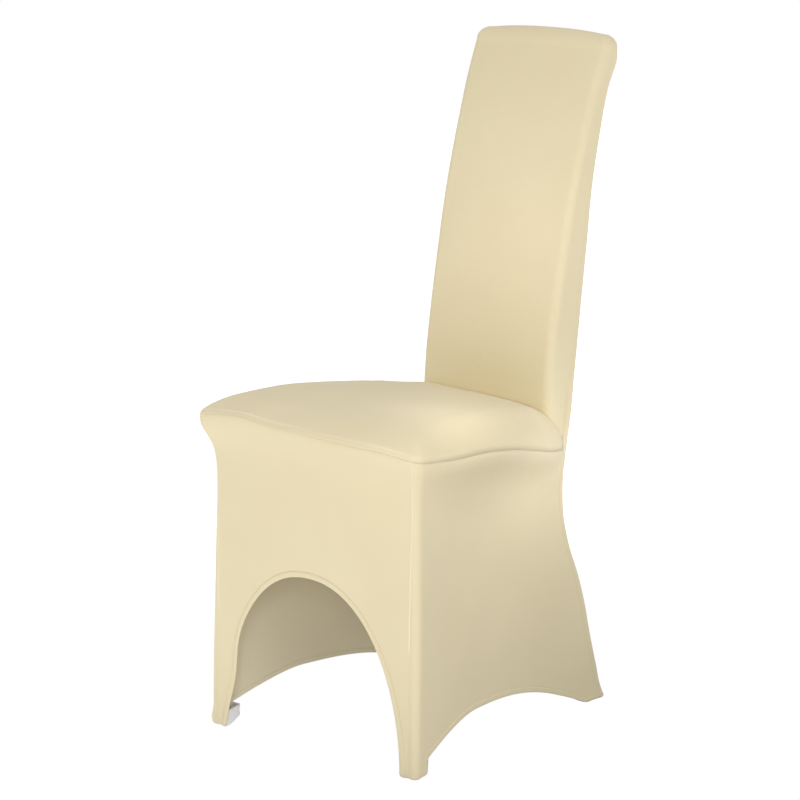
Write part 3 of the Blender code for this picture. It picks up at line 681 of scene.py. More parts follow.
creamSpandex = {
    "pale": (0.856, 0.755, 0.508, 1.0),
    "deep": (0.777, 0.665, 0.421, 1.0),
    # painted shade: the cloth is mixed darker along the seam and hem grooves, where shade falls
    "grooveShadeTone": (0.560, 0.455, 0.285, 1.0),
    "grooveShadeShare": 0.13,
    # painted highlight: the raised seam lines are mixed paler than the cloth
    "weltTone": (0.990, 0.920, 0.720, 1.0),
    "weltShare": 0.8,
    "reverseTone": (0.860, 0.800, 0.620, 1.0),  # the knit's inner side is a little paler
    "reverseShare": 0.5,
    "toneScale": 6.0,
    "toneFrom": 0.1,
    "toneTo": 0.9,
    "knitShade": 0.16,
    "roughLow": 0.50,
    "roughHigh": 0.62,
    "rib": 0.0010,
    "loop": 0.0008,
    "knitDepth": 0.00007,
    "knitStrength": 0.35,
    "sheen": 0.20,
    "sheenRoughness": 0.45,
    "specular": 0.35,
}


def rampValue(tree, value, low, high):
    ramp = addNode(tree, "ShaderNodeMapRange", None, {"Value": value, "To Min": low, "To Max": high})
    return ramp.outputs[0]


def placeGroup(tree, group, inputs):
    return addNode(tree, "ShaderNodeGroup", {"node_tree": group}, inputs)


def surfaceMark(tree, name):
    return addNode(tree, "ShaderNodeAttribute", {"attribute_name": name}).outputs["Fac"]


# The knit's height drives a fine bump
def knitBump(tree, shader, height, depth, strength):
    bump = addNode(tree, "ShaderNodeBump", None, {"Height": height, "Distance": depth, "Strength": strength})
    tree.links.new(bump.outputs[0], shader.inputs["Normal"])


def mixColour(tree, factor, one, other):
    node = tree.nodes.new("ShaderNodeMix")
    node.data_type = "RGBA"
    for key, value in ((0, factor), (6, one), (7, other)):  # the colour mix's own sockets
        setInput(tree, node.inputs[key], value)
    return node.outputs[2]


def newMaterial(name):
    material = bpy.data.materials.new(name)
    material.use_nodes = True
    shader = material.node_tree.nodes["Principled BSDF"]
    return material, material.node_tree, shader


def clothMaterial(name, look):
    material, tree, shader = newMaterial(name)
    uv = addNode(tree, "ShaderNodeUVMap", {"uv_map": "clothUv"}).outputs[0]
    place = addNode(tree, "ShaderNodeTexCoord").outputs["Object"]
    tones = placeGroup(tree, tone, {"Vector": place, "Scale": look["toneScale"]})
    weave = placeGroup(tree, knit, {"Vector": uv, "Rib": look["rib"], "Loop": look["loop"]})
    broad = rampValue(tree, tones.outputs["Broad"], look["toneFrom"], look["toneTo"])
    colour = mixColour(tree, broad, look["deep"], look["pale"])
    reverse = mathNode(tree, "MULTIPLY", surfaceMark(tree, "reverse"), look["reverseShare"])
    colour = mixColour(tree, reverse, colour, look["reverseTone"])
    gaps = mathNode(tree, "SUBTRACT", 1.0, weave.outputs["Tone"])
    colour = mixColour(tree, mathNode(tree, "MULTIPLY", gaps, look["knitShade"]), colour, look["deep"])
    # Painted shade: the groove mark darkens the cloth along the seam and hem grooves
    groove = mathNode(tree, "MULTIPLY", surfaceMark(tree, "groove"), look["grooveShadeShare"])
    colour = mixColour(tree, groove, colour, look["grooveShadeTone"])
    # Painted highlight: the welt mark makes the raised seam lines paler
    welt = mathNode(tree, "MULTIPLY", surfaceMark(tree, "welt"), look["weltShare"])
    colour = mixColour(tree, welt, colour, look["weltTone"])
    tree.links.new(colour, shader.inputs["Base Color"])
    rough = rampValue(tree, tones.outputs["Fine"], look["roughLow"], look["roughHigh"])
    tree.links.new(rough, shader.inputs["Roughness"])
    knitBump(tree, shader, weave.outputs["Height"], look["knitDepth"], look["knitStrength"])
    shader.inputs["Sheen Weight"].default_value = look["sheen"]
    shader.inputs["Sheen Roughness"].default_value = look["sheenRoughness"]
    shader.inputs["Specular IOR Level"].default_value = look["specular"]
    return material


# The pockets' webbing and the thread are made by one function
soleWebbing = {
    "pale": (0.950, 0.945, 0.960, 1.0),
    "deep": (0.780, 0.775, 0.790, 1.0),
    "rib": 0.0014,
    "loop": 0.0012,
    "depth": 0.00025,
    "strength": 0.6,
    "roughLow": 0.70,
    "roughHigh": 0.88,
    "sheen": 0.10,
}

seamThread = {
    "pale": (0.900, 0.820, 0.620, 1.0),
    "deep": (0.740, 0.640, 0.430, 1.0),
    "rib": 0.0006,
    "loop": 0.0005,
    "depth": 0.00010,
    "strength": 0.5,
    "roughLow": 0.45,
    "roughHigh": 0.60,
    "sheen": 0.05,
}


woven = {
    "tilt": (0.6, 0.7, 0.5),
    "toneScale": 40.0,
    "toneFrom": 0.75,
    "toneTo": 1.15,
}


def wovenMaterial(name, look):
    material, tree, shader = newMaterial(name)
    place = addNode(tree, "ShaderNodeTexCoord").outputs["Object"]
    tilt = addNode(tree, "ShaderNodeMapping", None, {"Vector": place, "Rotation": woven["tilt"]}).outputs[0]
    tones = placeGroup(tree, tone, {"Vector": place, "Scale": woven["toneScale"]})
    weave = placeGroup(tree, knit, {"Vector": tilt, "Rib": look["rib"], "Loop": look["loop"]})
    broad = rampValue(tree, tones.outputs["Broad"], woven["toneFrom"], woven["toneTo"])
    factor = mathNode(tree, "MULTIPLY", weave.outputs["Tone"], broad)
    tree.links.new(mixColour(tree, factor, look["deep"], look["pale"]), shader.inputs["Base Color"])
    rough = rampValue(tree, tones.outputs["Fine"], look["roughLow"], look["roughHigh"])
    tree.links.new(rough, shader.inputs["Roughness"])
    knitBump(tree, shader, weave.outputs["Height"], look["depth"], look["strength"])
    shader.inputs["Sheen Weight"].default_value = look["sheen"]
    return material


clothFinish = clothMaterial("creamSpandexKnit", creamSpandex)
webbingFinish = wovenMaterial("soleWebbingWeave", soleWebbing)
threadFinish = wovenMaterial("seamThreadTwist", seamThread)
print("stage: materials ready")


# Side skirts
sideSkirt = {
    "seamColumns": 5,
    "cornerColumns": 9,
    "sideColumns": 62,
    "sideRun": 0.48,
    "nearFeet": (0.002, 0.005, 0.004),  # further columns beside the feet's edges: two in front, one behind
    "leastStep": 0.0007,                # of q: closer columns are dropped
    "planSteps": 2000,
    "rowsBetween": 60,
    "archHeight": 0.0645,
    "archTopY": -0.0175,
    "archTopRound": 0.0300,
    "archFront": 0.2220,
    "archFrontPower": 1.300,
    "archRear": 0.2798,
    "archRearPower": 2.634,
}


def footEdges():
    return legRows[0][2] + cover["frontFootDepth"], rearRows[0][2] - cover["rearFootDepth"]


def sideHem(y):
    front, rear = footEdges()
    ahead = y < sideSkirt["archTopY"]
    length = np.where(ahead, sideSkirt["archFront"], sideSkirt["archRear"])
    power = np.where(ahead, sideSkirt["archFrontPower"], sideSkirt["archRearPower"])
    soft = np.where(ahead, sideSkirt["archTopRound"], 0.0)
    away = np.hypot(y - sideSkirt["archTopY"], soft) - soft
    rise = sideSkirt["archHeight"] * np.maximum(1 - (away / (np.hypot(length, soft) - soft)) ** power, 0.0)
    return np.where((y <= front) | (y >= rear), 0.0, rise)


def acrossSide():
    first, last = plan["cornerStart"], plan["cornerEnd"]
    flat = np.linspace(0.0, first, sideSkirt["seamColumns"])
    corner = np.linspace(first, last, sideSkirt["cornerColumns"] + 1)[1:]
    side = last + (1 - last) * shares(sideSkirt["sideRun"], "none", "seam", sideSkirt["sideColumns"])[1:, 0]
    front, rear = footEdges()
    near, further, behind = sideSkirt["nearFeet"]
    places = np.linspace(last, 1.0, sideSkirt["planSteps"])
    depth = legPlan(places, 0.0)[1]
    edges = np.interp([front, front + near, front + further, rear - behind, rear], depth, places)
    side = np.sort(np.concatenate([side, edges]))
    keep = np.concatenate([[True], np.diff(side) > sideSkirt["leastStep"]])
    side = side[keep | (side == 1.0)]
    return np.concatenate([flat, corner, side])


def sideGrid():
    q = acrossSide()
    low = np.where(q > plan["cornerEnd"], sideHem(legPlan(q, 0.0)[1]), 0.0)
    rise = sideTop(q) - low
    share = np.array([shares(r, "hem", "seam", sideSkirt["rowsBetween"])[:, 0] for r in rise]).T
    return sidePoint(q[None, :], low + rise * share)


# Front skirt: rows run from the arch's hem out to the two seams and the rim
frontSkirt = {
    "archHalfWidth": 0.1808,
    "archHeight": 0.2743,
    "archPowers": (2.203, 1.927),
    "archHalvings": 40,
    "hemTurnIn": (0.0105, 0.0045),  # how far the hem wraps round the left leg's inner side: across, back
    "turnInAt": ((0.078, 0.062), (0.095, 0.045)),  # the height and width of each
    "turnInRun": 0.85,
    "rimColumns": 74,
    "rowsBetween": 34,
    "weltFrom": 0.193,      # the raised seam line and its painted highlight end below this height
    "weltFade": (-0.010, 0.015),
    "weltTop": (0.4885, 0.4835),
    "weltHalf": 0.12,
    "weltStep": 0.0013,
    "weltWidth": 0.0015,
}


def archReach(bearing):
    width, height = frontSkirt["archHalfWidth"], frontSkirt["archHeight"]
    first, second = frontSkirt["archPowers"]
    low, high = np.zeros_like(bearing), np.full_like(bearing, 0.5)
    for _ in range(frontSkirt["archHalvings"]):
        middle = (low + high) / 2
        across = (middle * np.abs(np.cos(bearing)) / width) ** first
        inside = across + (middle * np.sin(bearing) / height) ** second < 1
        low, high = np.where(inside, middle, low), np.where(inside, high, middle)
    return low


def frontGrid():
    side = shares(frontTop(1.0), "hem", "seam", sideSkirt["rowsBetween"])[:, 0] * frontTop(1.0)
    across = np.linspace(-1.0, 1.0, frontSkirt["rimColumns"] + 1)[1:-1]
    p = np.concatenate([np.full(len(side), -1.0), across, np.full(len(side), 1.0)])
    z = np.concatenate([side, frontTop(across), side[::-1]])
    legs = legPlan(np.array(0.0), z)[0]
    bearing = np.arctan2(z, p * legs)
    reach = archReach(bearing)
    hemZ = reach * np.sin(bearing)
    hemP = reach * np.cos(bearing) / legPlan(np.array(0.0), hemZ)[0]
    run = np.hypot((p - hemP) * legs, z - hemZ)
    share = np.array([shares(r, "hem", "seam", frontSkirt["rowsBetween"])[:, 0] for r in run]).T
    grid = frontPoint(hemP + (p - hemP) * share, hemZ + (z - hemZ) * share)
    wraps = (p < 0) * smoothStep(frontSkirt["turnInRun"], 0.0, share)
    for axis, (far, where) in enumerate(zip(frontSkirt["hemTurnIn"], frontSkirt["turnInAt"])):
        grid[..., axis] += far * wraps * bell(hemZ, *where)
    return grid


# Raised seam line beside each front seam, clearest above the arch; its paler colour is a painted highlight
# along the ridge
def frontWelts(grid, ways):
    low, high = (frontSkirt["weltFrom"] + step for step in frontSkirt["weltFade"])
    height = smoothStep(low, high, grid[..., 2])
    aside = np.abs(grid[..., 0]) > frontSkirt["weltHalf"]
    onSeam = smoothStep(*frontSkirt["weltTop"], grid[..., 2]) * aside
    line = bell(ways["lastRow"], frontSkirt["weltStep"], frontSkirt["weltWidth"])
    return relief["weltHeight"] * line * height * onSeam


# The back and the inner back share their columns' count, their side edges and the top seam
backrest = {
    "flatColumns": 22,
    "footColumns": 19,
    "arcColumns": 7,
    "wrap": 0.16,
    "frontShare": 0.62,
    "arcShare": 0.75,
    "rearRound": 0.0090,
    "frontRound": 0.0140,
    "seamBand": 0.0085,
    "leastStraight": 0.001,
    "swell": 0.0060,
    "archHeight": 0.0750,
    "archPowers": (2.400, 1.900),
    "upperRows": 86,
    "top": 1.0400,
    "topZ": 1.0585,
    "topCrown": 0.0070,
    "topSeamY": 0.0200,
    "topSeamIn": 0.0140,
    "topFlatShare": 0.92,
    "capArc": 0.028,
    "capRows": 6,
}


# Shares along a wrap: the rounded corner, then the straight stretch with fine steps at the seam
def wrapShares(straight):
    arc = np.linspace(0.0, backrest["arcShare"], backrest["arcColumns"] + 1)[1:]
    straight = np.asarray(straight, dtype=float)
    squeeze = np.minimum(1.0, straight / backrest["seamBand"])
    ends = [1 - d * squeeze / straight for d in fine["seam"][::-1]]
    rest = [ends[0] * k / 3 for k in (1, 2)] + ends
    arcs = [np.full(straight.shape, a) for a in arc]
    beyond = [backrest["arcShare"] + (1 - backrest["arcShare"]) * s for s in rest]
    return np.stack(arcs + beyond, axis=-1)


def roundedSide(share, radius, straight):
    turn = np.clip(share / backrest["arcShare"], 0.0, 1.0) * math.pi / 2
    beyond = np.maximum(share - backrest["arcShare"], 0.0) / (1 - backrest["arcShare"]) * straight
    return radius * (1 - np.sin(turn)), radius * (1 - np.cos(turn)) + beyond


def mirrorAcross(right):
    return np.concatenate([-right[..., :0:-1], right], axis=-1)


def backPoint(p, z):
    half, rear, radius, wrap = rearHalf(z), rearY(z), backrest["rearRound"], backrest["wrap"]
    share = np.abs(p)
    inside, before = roundedSide((share - 1 + wrap) / wrap, radius, cover["rearSeamIn"] - radius)
    turned = share > 1 - wrap
    x = np.where(turned, half - inside, (half - radius) * np.minimum(share / (1 - wrap), 1.0))
    return stack(np.copysign(x, p), np.where(turned, rear - before, rear), z)


def backHem(p):
    flat = rearRows[0][1] - backrest["rearRound"]
    x = np.abs(p) / (1 - backrest["wrap"]) * flat
    half = rearRows[0][1] - cover["rearFootWidth"]
    inner = np.clip(1 - np.clip(x / half, 0.0, 1.0) ** backrest["archPowers"][0], 0.0, 1.0)
    return np.where(x >= half, 0.0, backrest["archHeight"] * inner ** (1 / backrest["archPowers"][1]))


def acrossBack():
    wrap = backrest["wrap"]
    flat = rearRows[0][1] - backrest["rearRound"]
    foot = (rearRows[0][1] - cover["rearFootWidth"]) / flat * (1 - wrap)
    half = foot * np.sin(np.linspace(0.0, math.pi / 2, backrest["footColumns"] + 1))
    rest = np.linspace(foot, 1 - wrap, backrest["flatColumns"] - backrest["footColumns"] + 1)[1:]
    turned = 1 - wrap + wrap * wrapShares(cover["rearSeamIn"] - backrest["rearRound"])
    return mirrorAcross(np.concatenate([half, rest, turned]))


# How deep the backrest's side is from its face to the seam, and how round its front edge
def innerSide(z):
    depth = rearY(z) - cover["rearSeamIn"] - faceY(z)
    return depth, np.minimum(backrest["frontRound"], depth - backrest["leastStraight"])


def acrossInner(z):
    z = np.atleast_1d(z)
    share, count = backrest["frontShare"], backrest["flatColumns"] + 1
    depth, radius = innerSide(z)
    flat = np.broadcast_to(np.linspace(0.0, share, count), (len(z), count))
    turned = share + (1 - share) * wrapShares(depth - radius)
    return mirrorAcross(np.concatenate([flat, turned], axis=-1))


def innerPoint(p, z):
    half, front = rearHalf(z), faceY(z)
    depth, radius = innerSide(z)
    flat = half - radius
    share, edge = np.abs(p), backrest["frontShare"]
    x = flat * np.minimum(share / edge, 1.0)
    y = front - backrest["swell"] * ((flat / half) ** 2 - (x / half) ** 2)
    inside, behind = roundedSide((share - edge) / (1 - edge), radius, depth - radius)
    turned = share > edge
    return stack(np.copysign(np.where(turned, half - inside, x), p), np.where(turned, front + behind, y), z)


# Rows from the last level one over to the top seam
def capRows(row):
    count = (row.shape[0] - 1) // 2
    flat = backrest["flatColumns"]
    out = np.abs(np.arange(-count, count + 1))
    spread = backrest["topFlatShare"] * np.minimum(out / flat, 1.0)
    spread += (1 - backrest["topFlatShare"]) * np.maximum(out - flat, 0) / (count - flat)
    spread = np.copysign(spread, row[:, 0])
    x = (rearRows[-1][1] - backrest["topSeamIn"]) * spread
    y = faceRows[-1][1] + backrest["topSeamY"]
    z = backrest["topZ"] + backrest["topCrown"] * (1 - spread * spread)
    rows = []
    for t in shares(backrest["capArc"], "none", "seam", backrest["capRows"])[1:, 0]:
        turn = t * math.pi / 2
        over = 1 - math.cos(turn)
        rows.append(stack(row[:, 0] + (x - row[:, 0]) * over, row[:, 1] + (y - row[:, 1]) * over,
                          row[:, 2] + (z - row[:, 2]) * math.sin(turn)))
    return np.array(rows)


def backGrid():
    p = acrossBack()
    low, level = backHem(p), cover["rearSeamTop"]
    share = np.array([shares(r, "hem", "seam", sideSkirt["rowsBetween"])[:, 0] for r in level - low]).T
    lower = backPoint(p[None, :], low + (level - low) * share)
    rise = backrest["top"] - level
    heights = level + rise * shares(rise, "seam", "none", backrest["upperRows"])
    upper = backPoint(p[None, :], np.broadcast_to(heights, (len(heights), len(p))))
    return np.concatenate([lower, upper[1:], capRows(upper[-1])])


# Seat pad
seatPad = {
    "rearY": 0.2500,
    "centre": (0.0, 0.0100),
    "rounding": 0.2300,
    "roundPower": 2.200,
    "sharperFront": (0.85, -0.35, 0.45),  # drop of that power, and the bearing and width where it holds
    "dome": 0.0070,
    "middleHalf": 0.1500,
    "middleFront": -0.1500,
    "slowY": 0.0300,
    "slow": 0.4500,
    "creaseSpread": 2.0,  # above 1, more columns lie at the crease's ends
    "followRim": 0.15,
    "creaseStart": 0.480,
    "creasePasses": 14,
    "rimSteps": (240, 900, 160),  # along the front, the side and the rear
    "ringsToMiddle": 15,
    "middleRings": 9,
    "weltIn": 0.0092,
    "weltWidth": 0.0012,
    "weltShare": 0.9,
    "weltFront": (-0.12, -0.215),
    "weltPlain": 0.35,
    "weltStrong": [(0.65, -0.105, 0.055), (0.5, 0.150, 0.030)],  # by how much more, and the x and width there
}


# The pad's rim all round its right half, as bearings from the centre with the reach and the y there
def rimTable():
    cx, cy = seatPad["centre"]
    frontSteps, sideSteps, rearSteps = seatPad["rimSteps"]
    x, y = frontRim(np.linspace(0.0, 1.0, frontSteps))
    sx, sy = rimPlan(np.linspace(0.0, 1.0, sideSteps))
    half, seamY = rearSeam(cover["rearSeamTop"])
    rx = np.linspace(half, 0.0, rearSteps)
    ry = seatPad["rearY"] - (seatPad["rearY"] - seamY) * (rx / half) ** 2
    x, y = np.concatenate([x, sx, rx]), np.concatenate([y, sy, ry])
    bearing = np.arctan2(x - cx, -(y - cy))
    order = np.argsort(bearing)
    return bearing[order], np.hypot(x - cx, y - cy)[order], y[order]


rimBearing, rimReach, rimY = rimTable()


def padHeight(x, y):
    cx, cy = seatPad["centre"]
    bearing = np.arctan2(np.abs(x) - cx, -(y - cy))
    share = np.hypot(np.abs(x) - cx, y - cy) / np.interp(bearing, rimBearing, rimReach)
    low = rimHeight(np.interp(bearing, rimBearing, rimY))
    high = crownHeight(y) + seatPad["dome"] * (1 - share * share)
    inside = np.clip((1 - share) / seatPad["rounding"], 0.0, 1.0)
    drop, middle, width = seatPad["sharperFront"]
    power = seatPad["roundPower"] - drop * bell(np.arctan2(x - cx, -(y - cy)), middle, width)
    return low + (high - low) * (1 - (1 - inside) ** power) ** (1 / power)


def creaseRow():
    start = seatPad["creaseStart"]
    z = np.full(acrossInner(start).shape[1], start)
    for _ in range(seatPad["creasePasses"]):
        table = acrossInner(z)
        p = table[np.arange(len(z)), np.arange(len(z))]
        place = innerPoint(p, z)
        z = padHeight(place[:, 0], place[:, 1])
        z[0] = z[-1] = cover["rearSeamTop"]
    x, y = rearSeam(cover["rearSeamTop"])
    row = innerPoint(p, z)
    row[0], row[-1] = (-x, y, cover["rearSeamTop"]), (x, y, cover["rearSeamTop"])
    return row


def innerGrid(crease):
    run = backrest["top"] - crease[:, 2]
    share = np.array([shares(r, "seam", "none", backrest["upperRows"])[:, 0] for r in run]).T
    z = crease[None, :, 2] + run * share
    columns = np.arange(z.shape[1])
    p = np.array([acrossInner(row)[columns, columns] for row in z])
    grid = innerPoint(p, z)
    grid[0] = crease
    return np.concatenate([grid, capRows(grid[-1])])


def seatGrid(crease):
    q = acrossSide()
    right = stack(*rimPlan(q), sideTop(q))
    left = right[::-1] * np.array([-1.0, 1.0, 1.0])
    p = np.linspace(-1.0, 1.0, frontSkirt["rimColumns"] + 1)[1:-1]
    rim = np.concatenate([left, stack(*frontRim(p), frontTop(p)), right])
    half, front = seatPad["middleHalf"], seatPad["middleFront"]
    inside = half + seatPad["followRim"] * np.minimum(np.abs(rim[:, 0]) - half, 0.0)
    ax = np.where(rim[:, 1] < front, np.clip(rim[:, 0], -half, half), np.copysign(inside, rim[:, 0]))
    slowed = seatPad["slowY"] + (rim[:, 1] - seatPad["slowY"]) * seatPad["slow"]
    ay = np.where(rim[:, 1] < front, front, np.where(rim[:, 1] > seatPad["slowY"], slowed, rim[:, 1]))
    back = crease[-2:0:-1]
    along = np.cumsum(np.linalg.norm(np.diff(crease[::-1], axis=0), axis=1))
    aside = 1 - 2 * along[:-1] / along[-1]  # 1 at the crease's right end, -1 at its left end
    ring = np.concatenate([rim, back])
    spread = np.copysign(1 - (1 - np.abs(aside)) ** seatPad["creaseSpread"], aside)
    anchorX = np.concatenate([ax, ax[-1] * spread])
    anchorY = np.concatenate([ay, np.full(len(back), ay[-1])])
    run = np.hypot(ring[:, 0] - anchorX, ring[:, 1] - anchorY)
    share = np.array([shares(r, "seam", "none", seatPad["ringsToMiddle"])[:, 0] for r in run]).T
    x = ring[:, 0] + (anchorX - ring[:, 0]) * share
    y = ring[:, 1] + (anchorY - ring[:, 1]) * share
    cx, cy = seatPad["centre"]
    for k in range(1, seatPad["middleRings"] + 1):
        t = k / (seatPad["middleRings"] + 1)
        x = np.vstack([x, anchorX + (cx - anchorX) * t])
        y = np.vstack([y, anchorY + (cy - anchorY) * t])
    grid = stack(x, y, padHeight(x, y))
    grid[0] = ring
    return grid


# Raised line of stitching a little above the pad's edge, clearest at the left of the front; its paler colour
# is a painted highlight along the ridge
def padWelt(grid, ways):
    d = ways["firstRow"]
    x, y = grid[0, :, 0], grid[0, :, 1]
    front = smoothStep(*seatPad["weltFront"], y)
    strength = seatPad["weltPlain"]
    for more, middle, width in seatPad["weltStrong"]:
        strength = strength + more * bell(x, middle, width)
    line = bell(d, seatPad["weltIn"], seatPad["weltWidth"])
    return seatPad["weltShare"] * relief["weltHeight"] * line * front * strength


crease = creaseRow()
cx, cy = seatPad["centre"]
sideArray = sideGrid()
sideEdges = {"firstRow": "hem", "lastRow": "seam", "firstColumn": "seam", "lastColumn": "seam"}
frontEdges = {"firstRow": "hem", "lastRow": "seam"}
panels = [
    makePanel("frontSkirt", frontGrid(), frontEdges, (0.0, 0.1, 0.3), welts=frontWelts),
    makePanel("sideSkirtRight", sideArray, sideEdges, (0.0, 0.0, 0.3)),
    makePanel("sideSkirtLeft", sideArray * np.array([-1.0, 1.0, 1.0]), sideEdges, (0.0, 0.0, 0.3)),
    makePanel("backPanel", backGrid(), sideEdges, (0.0, 0.1, 0.5)),
    makePanel("innerBack", innerGrid(crease), {key: "seam" for key in sideEdges}, (0.0, 0.5, 0.6)),
    makePanel("seatPanel", seatGrid(crease), {"firstRow": "seam"}, (0.0, 0.0, 0.3), closed=True,
              middle=(cx, cy, float(padHeight(np.array(cx), np.array(cy)))), welts=padWelt),
]
shareNormals(panels)
print("stage: panels laid out", [len(panel["faces"]) for panel in panels])

nodeOf = {
    "frontSkirt": "front_skirt",
    "sideSkirtRight": "side_skirt_right",
    "sideSkirtLeft": "side_skirt_left",
    "backPanel": "back_panel",
    "innerBack": "inner_back",
    "seatPanel": "seat_panel",
}


def cutSize(panel, stretch):
    return np.linalg.norm(faceNormals(panel), axis=1).sum() / 2 / stretch


# The flat cut of each panel before it was stretched: width, length
flatCuts = {
    "frontSkirt": (0.400, 0.480),
    "sideSkirtRight": (0.470, 0.470),
    "sideSkirtLeft": (0.470, 0.470),
    "backPanel": (0.340, 1.070),
    "innerBack": (0.370, 0.600),
    "seatPanel": (0.470, 0.480),
}
clothStretch = 1.12

# How strong and how wide the painted shade along each seam line is
seamShadeMark = {
    "share": 0.6,
    "width": 0.0011,
}


# What the cloth's colour reads at each point, first for the outer side and then for the inner one: groove is
# painted shade along the seam and hem grooves, welt is a painted highlight on the raised seam lines
def clothMarks(panel):
    weltMark = panel["welt"] / relief["weltHeight"]
    groove = seamShadeMark["share"] * bell(panel["seam"], 0.0, seamShadeMark["width"]) * seamShare(panel["points"])
    groove += hemShareOf(panel) * hemLine(panel["hem"])
    groove *= 1 - np.clip(2 * weltMark, 0.0, 1.0)
    return {
        "groove": np.tile(np.clip(groove, 0.0, 1.0), 2),
        "welt": np.tile(np.clip(weltMark, 0.0, 1.0), 2),
        "reverse": np.repeat([0.0, 1.0], len(weltMark)),
    }


for panel in panels:
    points, faces = clothMesh(panel)
    marks = clothMarks(panel)
    piece = addMesh(panel["name"], points, faces, clothFinish, np.tile(panel["uv"], (2, 1)), marks)
    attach(piece, "root")
    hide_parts(nodeOf[panel["name"]])
    width, length = flatCuts[panel["name"]]
    flatArea = min(cutSize(panel, clothStretch), width * length)
print("stage: panels made")


# Foot pockets: cups of pale webbing with a turned lip, a little fuller than the feet's cloth
footPocket = {
    "height": 0.0270,
    "cloth": 0.0016,
    "corner": 0.0070,
    "clear": 0.0012,
    "bottomRound": 0.0050,
    "leastCorner": 0.0015,
    "lip": 0.0011,
    "lipRound": 0.0008,
    "lipShare": 0.3,
    "floor": 0.0002,
    "wallRows": 5,
    "wallFrom": 0.003,     # above the sole's rounding
    "wallTo": 0.005,       # below the lip
    "neck": [(0.0, 0.0045), (0.2, 0.0040), (0.3, 0.0020)],  # share of the lip, height below the top
    "innerTop": 0.003,
    "soleInside": (0.7, 0.0006),
    "bottomTurns": 6,
    "lipTurns": 7,
    "ringColumns": 8,
    "ringBetween": (0.35, 0.5, 0.65),
    "wobble": 0.0004,
    "wobbleOver": 0.02,    # the half width at which the wobble is that much
    "wobbleWays": (0.7, 300),
    "frontProud": 0.0030,
    "innerGap": 0.0004,
    "rearGap": 0.001,
    "heelLift": 0.0130,    # the front pockets' soles rise this much towards their rear
    "heelLiftFrom": (0.15, 1.15),
    "topStays": 0.7,       # at the lip this share of that rise is missing
}


def roundedRing(corners, radius, count):
    ring = []
    corners = np.array(corners)
    for i in range(4):
        corner = corners[i]
        before, after = corners[i - 1] - corner, corners[(i + 1) % 4] - corner
        before, after = before / np.linalg.norm(before), after / np.linalg.norm(after)
        for t in np.linspace(0.0, 1.0, count):
            ring.append(corner + (before * (1 - t) ** 2 + after * t * t) * radius)
        stretch = corners[(i + 1) % 4] - corner
        for t in footPocket["ringBetween"]:
            ring.append(corner + stretch * t)
    return np.array(ring)


def sideInset(z, y):
    places = np.linspace(plan["cornerEnd"], 1.0, pathSteps)
    x, depth = legPlan(places, z)
    return float(np.interp(y, depth, x)) - cover["cloth"] - relief["hemSwell"] - footPocket["clear"]


def frontCorners(z):
    wall = cover["cloth"] + relief["hemSwell"] + footPocket["clear"]
    inner = frontSkirt["archHalfWidth"] + footPocket["innerGap"]
    front, rear = float(legY(z)) + wall, legRows[0][2] + cover["frontFootDepth"] + footPocket["frontProud"]
    return [(inner, front), (float(legX(z)) - wall, front), (sideInset(z, rear), rear), (inner, rear)]


def rearCorners(z):
    wall = cover["cloth"] + relief["hemSwell"] + footPocket["clear"]
    half, rear = float(rearHalf(z)), float(rearY(z))
    front, inner = rear - cover["rearFootDepth"] - footPocket["rearGap"], half - cover["rearFootWidth"]
    outer, back = half - wall, rear - wall
    return [(inner, front), (min(sideInset(z, front), outer), front), (outer, back), (inner, back)]


def pocketMesh(cornersAt):
    radius, height, wall = footPocket["bottomRound"], footPocket["height"], footPocket["cloth"]
    lip, lipShare, rows = footPocket["lip"], footPocket["lipShare"], footPocket["wallRows"]
    floor = footPocket["floor"]
    profile = []  # inset, height
    for turn in np.linspace(math.pi / 2, 0.0, footPocket["bottomTurns"]):
        profile.append((radius * (1 - math.cos(turn)), radius * (1 - math.sin(turn)) + floor))
    wallFrom, wallTo = radius + footPocket["wallFrom"], height - footPocket["wallTo"]
    profile += [(0.0, z) for z in np.linspace(wallFrom, wallTo, rows)]
    profile += [(-lip * share, height - drop) for share, drop in footPocket["neck"]]
    for turn in np.linspace(0.0, math.pi, footPocket["lipTurns"]):
        inset = wall / 2 - (wall / 2 + lip * lipShare) * math.cos(turn)
        profile.append((inset, height + footPocket["lipRound"] * math.sin(turn)))
    profile += [(wall, z) for z in np.linspace(height - footPocket["innerTop"], radius, rows)]
    share, rise = footPocket["soleInside"]
    profile += [(wall + radius * share, wall + rise), (wall + radius, wall + floor)]
    around, upwards = footPocket["wobbleWays"]
    rings = []
    for inset, z in profile:
        corners = np.array(cornersAt(z))
        middle = corners.mean(axis=0)
        moved = corners - np.sign(corners - middle) * inset
        corner = max(footPocket["corner"] - inset, footPocket["leastCorner"])
        ring = roundedRing(moved, corner, footPocket["ringColumns"])
        wobble = footPocket["wobble"] * np.sin(np.arange(len(ring)) * around + z * upwards)
        ring = ring + (ring - middle) * wobble[:, None] / footPocket["wobbleOver"]
        rings.append(stack(ring[:, 0], ring[:, 1], z))
    count = len(rings[0])
    points = np.concatenate(rings)
    faces = []
    for r in range(len(rings) - 1):
        for i in range(count):
            j = (i + 1) % count
            faces.append((r * count + i, r * count + j, (r + 1) * count + j, (r + 1) * count + i))
    for r, flip in ((0, True), (len(rings) - 1, False)):
        hub = len(points)
        points = np.vstack([points, points[r * count:(r + 1) * count].mean(axis=0)])
        for i in range(count):
            a, b = r * count + i, r * count + (i + 1) % count
            faces.append((b, a, hub) if flip else (a, b, hub))
    return points, faces


